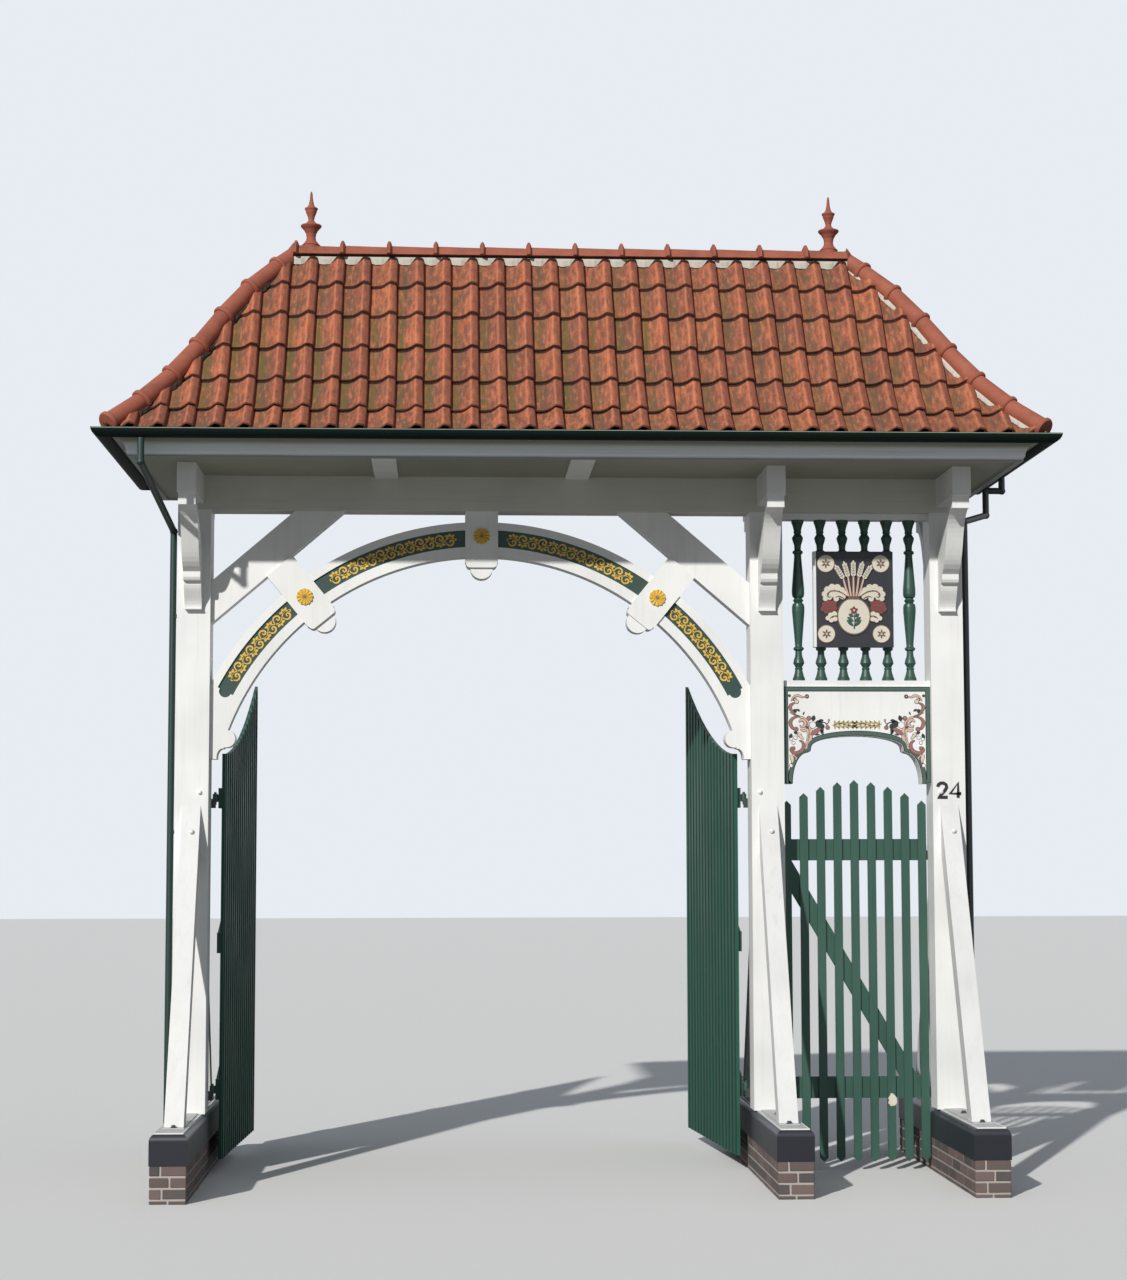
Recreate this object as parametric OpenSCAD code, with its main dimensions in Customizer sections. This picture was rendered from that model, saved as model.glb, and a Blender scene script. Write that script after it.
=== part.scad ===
// Roofed farmyard gateway: a carriage passage with two leaves and a wicket beside it,
// three braced posts on brick plinths, and a hipped pantile roof with swept eaves.
// The origin is on the ground under the middle post, +X to the right, +Y into the yard.

/* [Posts and plinths] */
// Side of each square post
post_w = 245; // [220:5:300]
// Clear width of the carriage passage
passage_w = 4010; // [3600:10:4600]
// Clear width of the wicket bay
wicket_w = 1110; // [1000:10:1300]
// Height of the lintel's underside above the ground
post_top_z = 4900; // [4800:10:5100]
// Length of each plinth, front to back
plinth_len = 2840; // [2700:20:3200]
// Width of the brickwork of each plinth
plinth_w = 250; // [240:5:300]
// Height of the brickwork above the ground
brick_h = 255; // [180:5:330]
// Width of the glazed coping
coping_w = 260; // [255:5:300]
// Height of the glazed coping
coping_h = 215; // [120:5:240]
// Radius of the coping's rounded top edges
coping_r = 50; // [20:5:50]

/* [Raking struts] */
// Side of each square strut
strut_w = 135; // [110:5:160]
// Height at which a strut's outer face meets the post
strut_top_z = 2710; // [2300:10:3000]
// Distance from the post's centre to the outer edge of a strut's foot
strut_foot_y = 1070; // [900:10:1250]
// Thickness of the steel sole plate under each strut
shoe_t = 8; // [5:1:15]
// Width of a sole plate
shoe_w = 145; // [140:1:155]
// Length of a sole plate beyond the strut's foot
shoe_over = 50; // [30:5:80]

/* [Brackets] */
// Width of each bracket
bracket_w = 125; // [100:5:160]
// Height of a bracket from its foot to the cross beam
bracket_h = 793; // [750:1:860]
// Reach of a bracket's tip from the post's face
bracket_reach = 577; // [540:1:610]
// Height of the block at a bracket's tip
tip_h = 88; // [60:2:110]
// Length of that block under the cross beam
tip_len = 107; // [80:1:140]
// Height of the cross moulding above a bracket's foot
mould_z = 206; // [180:2:240]
// Height of that moulding
mould_h = 60; // [40:2:80]
// Reach of that moulding from the post's face
mould_reach = 168; // [140:2:200]
// Width of the cross beam on each bracket
beam_w = 135; // [125:5:160]
// Height of the cross beams
beam_h = 210; // [180:5:240]
// Reach of a cross beam from the post's face
beam_reach = 620; // [600:10:700]

/* [Lintel and eaves] */
// Height of the lintel
lintel_h = 255; // [220:5:280]
// Height of the joists between the brackets
joist_h = 15; // [10:5:140]
// Width of those joists
joist_w = 175; // [100:5:200]
// Number of bays that the joists make over the passage
joist_bays = 3; // [2:1:5]
// Thickness of the soffit boards
soffit_t = 25; // [18:1:40]
// Distance from the gate's centre plane to the cornice's foot
cornice_y = 1086; // [1060:2:1110]
// Overhang of the cornice's foot beyond the outer posts
cornice_over = 255; // [200:5:320]
// Height of the cornice
cornice_h = 170; // [150:5:190]
// Reach of the cornice's head beyond its foot
cornice_out = 100; // [70:5:110]
// Width of the gutters
gutter_w = 130; // [110:2:150]
// Thickness of the gutters' sheet
gutter_t = 4; // [3:0.5:6]
// Diameter of the downpipes
pipe_d = 50; // [40:2:60]

/* [Roof] */
// Slope of each course of tiles, from the ridge down
course_slopes = [45.5, 54, 58.5, 55, 49, 42.5]; // [35:0.5:65]
// Share of the eaves course that shows above the gutter
eaves_share = 0.8; // [0.6:0.05:1]
// Overhang of the tiles beyond the cornice's head
tile_over = 44; // [30:2:60]
// Thickness of a tile course at its lower edge
tile_t = 25; // [15:1:35]
// Width of the ridge tiles
ridge_w = 190; // [160:5:220]
// Rise of a ridge tile's crown above its edges
ridge_rise = 73; // [60:1:90]
// Depth of the mortar bed under the ridge tiles' edges
ridge_bed = 30; // [15:1:40]
// Length of ridge tile that shows between two collars
ridge_tile_len = 351; // [300:1:420]
// Height of the ridge tiles' collars
ridge_collar = 45; // [20:1:55]
// Radius of the hip tiles at their upper ends
hip_r = 63; // [55:1:80]
// Length of hip tile that shows between two collars
hip_tile_len = 347; // [300:1:420]
// Height of the hip tiles' collars
hip_collar = 13; // [8:1:25]
// Width of all those collars
collar_w = 38; // [25:1:50]
// Height of each finial
finial_h = 415; // [350:5:460]

/* [Arch over the passage] */
// Radius of the arch's inner curve
arch_r = 1998; // [1900:2:2300]
// Distance from each post to that curve at the arch's feet
foot_w = 134; // [110:2:160]
// Gap between the lintel and the crown of the arch ring
crown_gap = 79; // [60:1:100]
// Depth of the arch ring
ring_h = 258; // [240:2:270]
// Width of the sunk band along the arch
band_w = 127; // [100:1:140]
// Thickness of the arch, front to back
arch_t = 150; // [130:5:170]
// Slope of the knee braces
brace_angle = 40.7; // [38:0.1:44]
// Slope of the pendants that hang from them
haunch_angle = 39; // [35:0.5:41]
// Depth of the knee braces
brace_w = 240; // [220:5:250]
// Distance from each post to the brace's upper edge along the lintel
brace_run = 615; // [580:5:650]
// Width of each pendant
pendant_w = 245; // [220:5:260]
// Thickness of each pendant, front to back
pendant_t = 180; // [175:5:220]
// Reach of the middle pendant's block below the arch's inner curve
crown_drop = 16; // [10:1:50]
// The same at the two haunches
haunch_drop = 20; // [10:1:60]
// Radius of the rosettes
rosette_r = 62; // [50:1:75]
// Height of the corbels under the arch
corbel_h = 215; // [180:5:215]

/* [Wicket bay] */
// Height of the head rail under the lintel
head_rail_h = 45; // [30:5:60]
// Height of the sill rail on the arched panel
sill_rail_h = 45; // [35:5:60]
// Height of the top of the arched panel above the ground
panel_top_z = 3595; // [3560:5:3650]
// Height of the arched panel at its sides
panel_side_h = 727; // [680:1:740]
// Height of the arched panel at its crown
panel_crown_h = 370; // [330:5:420]
// Number of balusters
balusters_n = 6; // [5:1:7]
// Largest diameter of a baluster
baluster_d = 94; // [80:2:100]
// Width of the crest board
crest_w = 600; // [500:10:700]
// Distance of the crest board's middle from the bay's middle
crest_off = -20; // [-40:5:40]
// Height of the crest board
crest_h = 720; // [600:10:800]
// Thickness of the crest board
crest_t = 60; // [30:1:70]

/* [Leaves and wicket gate] */
// Height of the leaves' lower edge above the ground
leaf_foot_z = 115; // [60:5:140]
// Height of a leaf's top at its hinge
leaf_hinge_z = 3100; // [2900:10:3150]
// Height of a leaf's top where the two leaves meet
leaf_meet_z = 3740; // [3400:10:3900]
// Thickness of a leaf's boards
board_t = 24; // [20:1:24]
// Number of cover strips on each leaf
strips_n = 16; // [10:1:20]
// Width of a cover strip
strip_w = 40; // [30:2:60]
// Height of a leaf's ledges
ledge_h = 150; // [120:5:180]
// Angle by which the left leaf stands open
left_open = 87.5; // [0:0.5:90]
// Angle by which the right leaf stands open
right_open = 85; // [0:0.5:90]
// Number of pickets in the wicket gate
pickets_n = 9; // [7:2:9]
// Width of a picket
picket_w = 62; // [50:1:70]
// Height of the pickets' foot above the ground
picket_foot_z = 70; // [50:5:120]
// Height of the middle picket's tip
picket_mid_z = 2900; // [2800:10:3000]
// Height of the outer pickets' tips
picket_side_z = 2745; // [2600:5:2750]
// Height of the wicket gate's rails
rail_h = 160; // [120:5:180]

/* [Hidden] */
$fn = 48;

// Places of the posts
post_half = post_w / 2;
left_x = -(passage_w + post_w);
right_x = wicket_w + post_w;
post_xs = [left_x, 0, right_x];
passage_x = (left_x + 0) / 2;
bay_x = (0 + right_x) / 2;
roof_x = (left_x + right_x) / 2;
span_half = (right_x - left_x) / 2 + post_half;

// Levels
coping_z = brick_h + coping_h;
lintel_z = post_top_z;
soffit_z = lintel_z + lintel_h;
beam_z = soffit_z - beam_h;
bracket_z = beam_z - bracket_h;
cornice_drop = 15;
cornice_z = soffit_z - cornice_drop;
eaves_z = cornice_z + cornice_h;

// Plan of the eaves
cornice_x = span_half + cornice_over;
cornice_in = 46;
cornice_head_y = cornice_y + cornice_out;
gutter_r = gutter_w / 2;
gutter_mid = cornice_out + gutter_r;
roof_run = cornice_head_y + tile_over;
ridge_half = cornice_x + cornice_out + tile_over - roof_run;
sides = ["front", "back", "left", "right"];
big = 20000;

// Hinges: the pin stands off the post's face and behind its back face
pin_r = 10;
pin_clear = 0.05;
eye_r = 20;
hinge_off = 25;
hinge_y = post_half + 42;
leaf_back = 20;
ledge_t = 30;
strip_t = 6;
strap_t = 8;
strap_len = 620;
leaf_clear = 5;
edge_clear = 14;
eye_h = 60;
pin_h = 75;
pintle_h = 20;
low_hinge_z = 620;
leaf_top_hinge_z = leaf_hinge_z - 330;
leaf_axis_left = left_x + post_half + hinge_off;
leaf_axis_right = -post_half - hinge_off;
leaf_w = passage_w / 2 - hinge_off - leaf_clear;

// Wicket gate
gate_off = 18;
gate_axis_x = right_x - post_half - gate_off;
picket_t = 22;
gate_rail_t = 35;
rail_low_z = 535;
rail_high_z = 2298;

// A block centred on X and Y, standing on z
module block(x, y, z, w, d, h) {
    translate([x - w / 2, y - d / 2, z]) cube([w, d, h]);
}

// A flat outline in X and Z, extruded along Y from y0 over depth t
module slab_y(y0, t) {
    translate([0, y0 + t, 0]) rotate([90, 0, 0]) linear_extrude(t) children();
}

// An outline drawn as distance from the post's face and height, extruded across X
module slab_x(x, w) {
    translate([x - w / 2, 0, 0]) rotate([90, 0, 90]) linear_extrude(w) children();
}

// Children at the front, or turned round to the back
module on_side(front) {
    if (front) mirror([0, 1, 0]) children();
    else children();
}

module plinth(x) {
    color("indianred") block(x, 0, 0, plinth_w, plinth_len, brick_h);
}

// Bullnosed section of the coping, w wide and centred on the first axis
module bullnose(w) {
    flat = w - 2 * coping_r;
    union() {
        translate([-w / 2, 0]) square([w, coping_h - coping_r]);
        translate([-flat / 2, 0]) square([flat, coping_h]);
        for (side = [-1, 1]) translate([side * flat / 2, coping_h - coping_r]) circle(coping_r);
    }
}

// The same section runs along the coping and is returned round its ends
module coping(x) {
    color("dimgray") translate([x, 0, brick_h]) intersection() {
        translate([0, plinth_len / 2, 0]) rotate([90, 0, 0]) linear_extrude(plinth_len) bullnose(coping_w);
        slab_x(0, coping_w) bullnose(plinth_len);
    }
}

module post(x) {
    color("white") block(x, 0, coping_z, post_w, post_w, post_top_z - coping_z);
}

// Side view of one strut: distance from the gate's centre plane and height
strut_foot_z = coping_z + shoe_t;
strut_angle = atan2(strut_top_z - strut_foot_z, strut_foot_y - post_half);
strut_drop = strut_w / cos(strut_angle);
strut_span = strut_w / sin(strut_angle);

module strut(x) {
    slab_x(x, strut_w) polygon([
        [post_half, strut_top_z],
        [post_half, strut_top_z - strut_drop],
        [strut_foot_y - strut_span, strut_foot_z],
        [strut_foot_y, strut_foot_z]]);
}

module struts(front) {
    color("white") on_side(front) for (x = post_xs) strut(x);
}

// Sole plates lie on the coping from the post to a little beyond the strut's foot
module strut_shoes() {
    color("gray") for (x = post_xs, front = [false, true]) on_side(front)
        translate([x - shoe_w / 2, post_half, coping_z]) cube([shoe_w, strut_foot_y + shoe_over - post_half, shoe_t]);
}

// Points of an arc about c, from angle a0 to a1
function arc(c, r, a0, a1, n = 8) = [for (i = [0:n]) let (a = a0 + (a1 - a0) * i / n) c + r * [cos(a), sin(a)]];

// Bracket outline, as distance from the post and height above its foot: an ogee foot, a cross
// moulding, a belly that sweeps out under the block at the tip, and an open back
foot_lip = 10;
foot_reach = 38;
foot_head = 118;
tip_nose = 57;
belly_bulge = 0.23;
belly_flare = 0.26;
back_z = 438;
back_slope = 0.6;

module bracket_outline() {
    foot_z1 = mould_z - foot_lip;
    belly_z0 = mould_z + mould_h;
    belly_z1 = bracket_h - tip_h;
    sweep = bracket_reach - tip_nose - mould_reach;
    back_run = bracket_reach - tip_len;
    back_rise = bracket_h - back_z - back_slope * back_run;
    polygon(concat(
        [[0, 0], [foot_reach + foot_lip, 0], [foot_reach + foot_lip, foot_lip]],
        [for (i = [0:8]) let (t = i / 8)
            [foot_reach + (foot_head - foot_reach) * (1 - cos(180 * t)) / 2, foot_lip + (foot_z1 - foot_lip) * t]],
        [[mould_reach - foot_lip, foot_z1 + foot_lip], [mould_reach, mould_z + 2 * foot_lip]],
        [for (i = [0:14]) let (t = i / 14)
            [mould_reach + sweep * (belly_bulge * (1 - pow(1 - t, 8)) + belly_flare * pow(t, 8)
                + (1 - belly_bulge - belly_flare) * t), belly_z0 + (belly_z1 - belly_z0) * t]],
        [[bracket_reach, belly_z1], [bracket_reach, bracket_h]],
        [for (i = [10:-1:0]) let (t = i / 10)
            [back_run * t, back_z + back_slope * back_run * t + back_rise * pow(t, 6)]]));
}

module brackets(front) {
    color("white") on_side(front) for (x = post_xs)
        translate([0, post_half, bracket_z]) slab_x(x, bracket_w) bracket_outline();
}

module cross_beams() {
    color("white") for (x = post_xs, front = [false, true]) on_side(front)
        translate([x - beam_w / 2, post_half, beam_z]) cube([beam_w, beam_reach, beam_h]);
}

module joists() {
    joist_len = cornice_y - cornice_in - post_half;
    color("whitesmoke") for (i = [1:joist_bays - 1], front = [false, true]) on_side(front)
        translate([left_x * i / joist_bays - joist_w / 2, post_half, soffit_z - joist_h])
            cube([joist_w, joist_len, joist_h]);
}

module lintel() {
    color("whitesmoke") block(roof_x, 0, lintel_z, 2 * span_half, post_w, lintel_h);
}

module soffit() {
    color("whitesmoke") block(roof_x, 0, soffit_z,
        2 * (cornice_x - cornice_in), 2 * (cornice_y - cornice_in), soffit_t);
}

// One side of a rectangular surround, mitred at 45 degrees. The outline is drawn as distance
// beyond the foot line and height, and the plan of the foot line is 2a by 2b.
module surround_side(side, a, b) {
    far = 400;
    long_plan = [[b - a, 0], [a - b, 0], [a + far, -b - far], [-a - far, -b - far]];
    short_plan = [[a - b, 0], [a + far, b + far], [a + far, -b - far]];
    turn = side == "back" || side == "left" ? 180 : 0;
    translate([roof_x, 0, 0]) rotate(turn) intersection() {
        if (side == "front" || side == "back")
            translate([-big / 2, -b, 0]) rotate([90, 0, 90]) linear_extrude(big) mirror([1, 0]) children();
        else
            translate([a, big / 2, 0]) rotate([90, 0, 0]) linear_extrude(big) children();
        linear_extrude(big) polygon(side == "front" || side == "back" ? long_plan : short_plan);
    }
}

module cornice_outline() {
    fillet_h = 30;
    fillet_out = 10;
    crown_h = 45;
    crown_out = 15;
    cove_r = cornice_out - fillet_out - crown_out;
    cove_z = eaves_z - crown_h;
    polygon(concat(
        [[-cornice_in, cornice_z], [0, cornice_z], [0, cornice_z + fillet_h], [fillet_out, cornice_z + fillet_h]],
        [for (i = [0:8]) let (t = i / 8) [fillet_out + cove_r * (1 - cos(90 * t)),
            cornice_z + fillet_h + (cove_z - cornice_z - fillet_h) * sin(90 * t)]],
        [[cornice_out, cove_z], [cornice_out, eaves_z], [-cornice_in, eaves_z]]));
}

module cornice() {
    color("lightsteelblue") for (side = sides)
        surround_side(side, cornice_x, cornice_y) cornice_outline();
}

module gutters() {
    color("darkgreen") for (side = sides) surround_side(side, cornice_x, cornice_y)
        translate([gutter_mid, eaves_z]) difference() {
            circle(gutter_r);
            circle(gutter_r - gutter_t);
            translate([-gutter_w, 0]) square([2 * gutter_w, gutter_w]);
        }
}

// A round pipe along straight stretches, with ball-shaped bends
pipe_bend = 4;
module pipe(points) {
    for (i = [0:len(points) - 2]) {
        step = points[i + 1] - points[i];
        flat = norm([step[0], step[1]]);
        translate(points[i]) rotate([0, atan2(flat, step[2]), atan2(step[1], step[0])])
            cylinder(d = pipe_d, h = norm(step));
    }
    for (i = [1:len(points) - 2]) translate(points[i]) sphere(d = pipe_d + 2 * pipe_bend);
}

pipe_foot_z = 60;
pipe_clear = 18;
pipe_clip_zs = [900, 2500, 4100];
pipe_left_x = left_x - post_half - pipe_clear - pipe_d / 2;
pipe_left_head = 150;
pipe_right_x = right_x + post_half + 2 * pipe_clear + pipe_d / 2;
pipe_right_y = 60;
pipe_right_head = 40;
gutter_foot_z = eaves_z - gutter_r;
spout_seat = 1;
spout_left_out = 100;
spout_left_drop = 170;
spout_right_y = 350;
spout_right_drop = 105;
swan_run = 127;
swan_foot = 50;

module pipe_clips(x, y, face_x) {
    clip_w = 30;
    for (z = pipe_clip_zs) translate([min(x, face_x), y - clip_w / 2, z])
        cube([abs(face_x - x), clip_w, clip_w]);
}

// From the front gutter's left end slantwise back to the side of the left post
module downpipe_left() {
    spout_x = pipe_left_x - spout_left_out;
    spout_y = -(cornice_y + gutter_mid);
    color("darkgreen") {
        pipe([[spout_x, spout_y, gutter_foot_z - spout_seat], [spout_x, spout_y, gutter_foot_z - spout_left_drop],
            [pipe_left_x, 0, post_top_z - pipe_left_head], [pipe_left_x, 0, pipe_foot_z]]);
        pipe_clips(pipe_left_x, 0, left_x - post_half);
    }
}

// From the right gutter in a swan neck to the side of the right post
module downpipe_right() {
    spout_x = roof_x + cornice_x + gutter_mid;
    swan_x = spout_x - swan_run;
    color("darkslategray") {
        pipe([[spout_x, spout_right_y, gutter_foot_z - spout_seat],
            [spout_x, spout_right_y, gutter_foot_z - spout_right_drop],
            [swan_x, spout_right_y, gutter_foot_z - spout_right_drop], [swan_x, spout_right_y, post_top_z + swan_foot],
            [pipe_right_x, pipe_right_y, post_top_z - pipe_right_head], [pipe_right_x, pipe_right_y, pipe_foot_z]]);
        pipe_clips(pipe_right_x, pipe_right_y, right_x + post_half);
    }
}

// Roof profile: each course runs one gauge down its own slope, steepest halfway, so that the
// roof swells under the ridge and sweeps out at the eaves
courses = len(course_slopes);
ridge_flat = 30;
function course_share(i) = i == courses - 1 ? eaves_share : 1;
function run_to(i) = i == 0 ? 0 : run_to(i - 1) + course_share(i - 1) * cos(course_slopes[i - 1]);
function fall_to(i) = i == 0 ? 0 : fall_to(i - 1) + course_share(i - 1) * sin(course_slopes[i - 1]);
gauge = (roof_run - ridge_flat) / run_to(courses);
ridge_z = eaves_z + tile_t + gauge * fall_to(courses);
function course_r(i) = ridge_flat + gauge * run_to(i);
function course_z(i) = ridge_z - gauge * fall_to(i);

// Rings of the roof's surface from the eaves up, with a step of one tile at each course
roof_rings = concat(
    [[course_r(courses), eaves_z]],
    [for (i = [courses:-1:1], part = [0, 1])
        part == 0 ? [course_r(i), course_z(i)] : [course_r(i - 1), course_z(i - 1) - (i > 1 ? tile_t : 0)]]);

function ring_points(r, z) = let (a = ridge_half + r)
    [[-a, -r, z], [a, -r, z], [a, r, z], [-a, r, z]];

module roof_body() {
    n = len(roof_rings);
    polyhedron(
        points = [for (ring = roof_rings) each ring_points(ring[0], ring[1])],
        faces = concat(
            [[0, 1, 2, 3], [for (k = [3:-1:0]) 4 * (n - 1) + k]],
            [for (i = [0:n - 2], k = [0:3]) let (m = (k + 1) % 4)
                [4 * i + k, 4 * (i + 1) + k, 4 * (i + 1) + m, 4 * i + m]]));
}

module roof() {
    color("tomato") translate([roof_x, 0, 0]) roof_body();
}

// Ridge tiles: flat arcs about one axis, seated on a mortar bed on the roof's flat top
ridge_edge_z = ridge_z + ridge_bed;
ridge_r = (pow(ridge_w / 2, 2) + pow(ridge_rise, 2)) / (2 * ridge_rise);
ridge_axis_z = ridge_edge_z + ridge_rise - ridge_r;
ridge_taper = 9;
bed_lift = 0.3;
bed_inset = 32;
finial_in = 130;
finial_x = ridge_half - finial_in;
finial_seat_r = 66;
finial_seat_z = ridge_edge_z + ridge_rise + ridge_taper;

// Raised ring round the axis from z = 0 up, with bevelled edges
module collar(r, rise) {
    bevel = collar_w * 0.32;
    rotate_extrude() polygon([[0, 0], [r + rise / 3, 0], [r + rise, bevel], [r + rise, collar_w - bevel],
        [r + rise / 3, collar_w], [0, collar_w]]);
}

module ridge_mortar() {
    half = ridge_w / 2 - bed_inset;
    fall = (half - ridge_flat) * tan(course_slopes[0]);
    rotate([90, 0, 90]) translate([0, 0, -ridge_half]) linear_extrude(2 * ridge_half)
        polygon([[-half, ridge_edge_z], [-half, ridge_z - fall + bed_lift], [-ridge_flat, ridge_z + bed_lift],
            [-ridge_flat, ridge_z], [ridge_flat, ridge_z], [ridge_flat, ridge_z + bed_lift],
            [half, ridge_z - fall + bed_lift], [half, ridge_edge_z]]);
}

module ridge_tiles() {
    last = floor((2 * ridge_half - collar_w) / ridge_tile_len);
    color("orangered") translate([roof_x, 0, 0]) {
        intersection() {
            translate([-ridge_half, 0, ridge_axis_z]) rotate([0, 90, 0]) for (i = [0:last])
                translate([0, 0, i * ridge_tile_len]) {
                    cylinder(r1 = ridge_r + ridge_taper, r2 = ridge_r,
                        h = min(ridge_tile_len, 2 * ridge_half - i * ridge_tile_len));
                    collar(ridge_r + ridge_taper, ridge_collar - ridge_taper);
                }
            translate([-big / 2, -big / 2, ridge_edge_z]) cube(big);
        }
        ridge_mortar();
        for (side = [-1, 1]) translate([side * finial_x, 0, ridge_edge_z])
            cylinder(r = finial_seat_r, h = finial_seat_z - ridge_edge_z);
    }
}

// Place at length s along a path; past its ends the first and last stretch run on
function along(path, s, i = 0) = let (step = path[i + 1] - path[i])
    s <= norm(step) || i == len(path) - 2 ? path[i] + step * s / norm(step) : along(path, s - norm(step), i + 1);
function path_len(path, i = 0) = i == len(path) - 1 ? 0 : norm(path[i + 1] - path[i]) + path_len(path, i + 1);

// One hip tile between two places on the hip line, with a collar at its lower end
module hip_tile(p0, p1) {
    step = p1 - p0;
    flat = norm([step[0], step[1]]);
    head_r = hip_r + 6;
    lap = collar_w;
    translate(p0) rotate([0, atan2(flat, step[2]), atan2(step[1], step[0])]) {
        translate([0, 0, -lap]) cylinder(r1 = hip_r, r2 = head_r, h = norm(step) + lap, $fn = 24);
        translate([0, 0, norm(step) - collar_w]) collar(head_r, hip_collar, $fn = 24);
    }
}

// Hips are laid from the eaves up, and their top tiles are cut to butt against the ridge's end
module hip_tiles() {
    tuck = 100;
    end = 25;
    butt = ridge_half + bed_lift;
    hip = [for (i = [0:courses]) let (r = course_r(i)) [ridge_half + r, r, course_z(i)]];
    length = path_len(hip) - end;
    tiles = ceil(length / hip_tile_len);
    color("orangered") translate([roof_x, 0, 0]) difference() {
        for (turn_x = [0, 1], turn_y = [0, 1]) mirror([turn_x, 0, 0]) mirror([0, turn_y, 0])
            for (i = [0:tiles - 1]) hip_tile(along(hip, max(length - (i + 1) * hip_tile_len, -tuck)),
                along(hip, length - i * hip_tile_len));
        roof_body();
        translate([-big / 2, -big / 2, 0]) cube([big, big, eaves_z]);
        translate([-butt, -big / 2, 0]) cube([2 * butt, big, big]);
    }
}

// Turned finial: radius and height as shares of its own height
finial_shape = [[0, 0], [0.169, 0], [0.15, 0.017], [0.094, 0.09], [0.082, 0.145], [0.094, 0.217], [0.135, 0.289],
    [0.178, 0.333], [0.193, 0.359], [0.181, 0.376], [0.108, 0.402], [0.06, 0.448], [0.053, 0.484], [0.067, 0.537],
    [0.096, 0.61], [0.104, 0.646], [0.12, 0.672], [0.118, 0.692], [0.08, 0.708], [0.05, 0.754], [0.031, 0.843],
    [0.022, 0.952], [0.012, 1], [0, 1]];

module finials() {
    color("orangered") for (side = [-1, 1])
        translate([roof_x + side * finial_x, 0, finial_seat_z])
            rotate_extrude() polygon(finial_h * finial_shape);
}

// Arch: a ring about a centre on the passage's axis, hung under the lintel and cut level at its
// feet. It springs at most widest_angle from its crown, so a small arch stands on longer corbels.
passage_half = passage_w / 2;
arch_centre_z = lintel_z - crown_gap - ring_h - arch_r;
widest_angle = 70;
arch_foot = max(foot_w, passage_half - arch_r * sin(widest_angle));
spring_angle = asin((passage_half - arch_foot) / arch_r);
spring_z = arch_centre_z + arch_r * cos(spring_angle);
band_rise = 8;
band_r = arch_r + ring_h / 2 + band_rise;
band_stop = 7;
band_end = spring_angle - band_stop;
band_knob = 0.36;
arch_fn = 240;
groove_t = 20;
band_t = 6;

function reversed(list) = [for (i = [len(list) - 1:-1:0]) list[i]];

module arch_outline() {
    difference() {
        intersection() {
            translate([0, arch_centre_z]) circle(arch_r + ring_h, $fn = arch_fn);
            translate([-passage_half, spring_z]) square([passage_w, big]);
        }
        translate([0, arch_centre_z]) circle(arch_r, $fn = arch_fn);
    }
}

// Sunk band: a ring between two shoulders, with a round end beyond each
module band_outline() {
    translate([0, arch_centre_z]) {
        intersection() {
            difference() {
                circle(band_r + band_w / 2, $fn = arch_fn);
                circle(band_r - band_w / 2, $fn = arch_fn);
            }
            polygon([[0, 0], [-big * sin(band_end), big * cos(band_end)], [big * sin(band_end), big * cos(band_end)]]);
        }
        for (side = [-1, 1]) rotate(side * band_end) translate([0, band_r]) circle(band_w * band_knob);
    }
}

// Pendant: a block hung from z = 0 down, with two mouldings and a half-round knob
mould_1 = 28;
mould_2 = 40;
knob_r = 84;
mould_in = 34;
mould_lip = 5;
knob_in = 20;

// Front outline of a pendant whose block is length long: a square fillet, then an ovolo
module pendant_outline(length) {
    half = pendant_w / 2;
    block_z = -length - mould_1;
    ovolo = [for (i = [0:6]) let (a = 15 * i)
        [half - mould_lip - (mould_in - mould_lip) * (1 - cos(a)), block_z - mould_2 * sin(a)]];
    union() {
        translate([-half, block_z]) square([pendant_w, length + mould_1]);
        polygon(concat([[-half + mould_in, block_z + 1], [half - mould_in, block_z + 1]], ovolo,
            [for (p = reversed(ovolo)) [-p[0], p[1]]]));
    }
}

module pendant(length) {
    slab_y(-pendant_t / 2, pendant_t) pendant_outline(length);
    translate([0, 0, -length - mould_1 - mould_2]) intersection() {
        rotate([90, 0, 0]) cylinder(r = knob_r, h = pendant_t - 2 * knob_in, center = true);
        translate([-knob_r, -pendant_t, -knob_r]) cube([2 * knob_r, 2 * pendant_t, knob_r]);
    }
}

// The three pendants: in the middle under the lintel, and square to each knee brace
brace_low_u = passage_half - brace_run - brace_w / sin(brace_angle);
haunch_t = 0.487;
haunch_u = brace_low_u + haunch_t * (passage_half - brace_low_u);
haunch_z = lintel_z - (haunch_u - brace_low_u) * tan(brace_angle);
crown_len = lintel_z - arch_centre_z - arch_r + crown_drop;
haunch_up = 30;

// Length from the brace's lower edge, along a haunch pendant, to the arch's inner curve
haunch_from = [haunch_u, haunch_z - arch_centre_z];
haunch_way = [sin(haunch_angle), cos(haunch_angle)];
haunch_depth = haunch_from * haunch_way;
haunch_len = haunch_depth - sqrt(arch_r * arch_r - haunch_from * haunch_from + haunch_depth * haunch_depth)
    + haunch_drop;

module at_haunch(side) {
    translate([side * haunch_u, 0, haunch_z]) rotate([0, side * haunch_angle, 0]) children();
}

module pendants() {
    color("white") translate([passage_x, 0, 0]) {
        translate([0, 0, lintel_z]) pendant(crown_len);
        difference() {
            for (side = [-1, 1]) at_haunch(side) translate([0, 0, haunch_up]) pendant(haunch_len + haunch_up);
            slab_y(-big / 2, big) for (side = [0, 1]) mirror([side, 0]) brace_room();
        }
    }
}

// Room over a knee brace's lower edge, where its pendant stops
module brace_room() {
    polygon([[brace_low_u - 300, lintel_z + 300 * tan(brace_angle)], [big, lintel_z + 300 * tan(brace_angle)],
        [big, lintel_z - (big - brace_low_u) * tan(brace_angle)]]);
}

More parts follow.
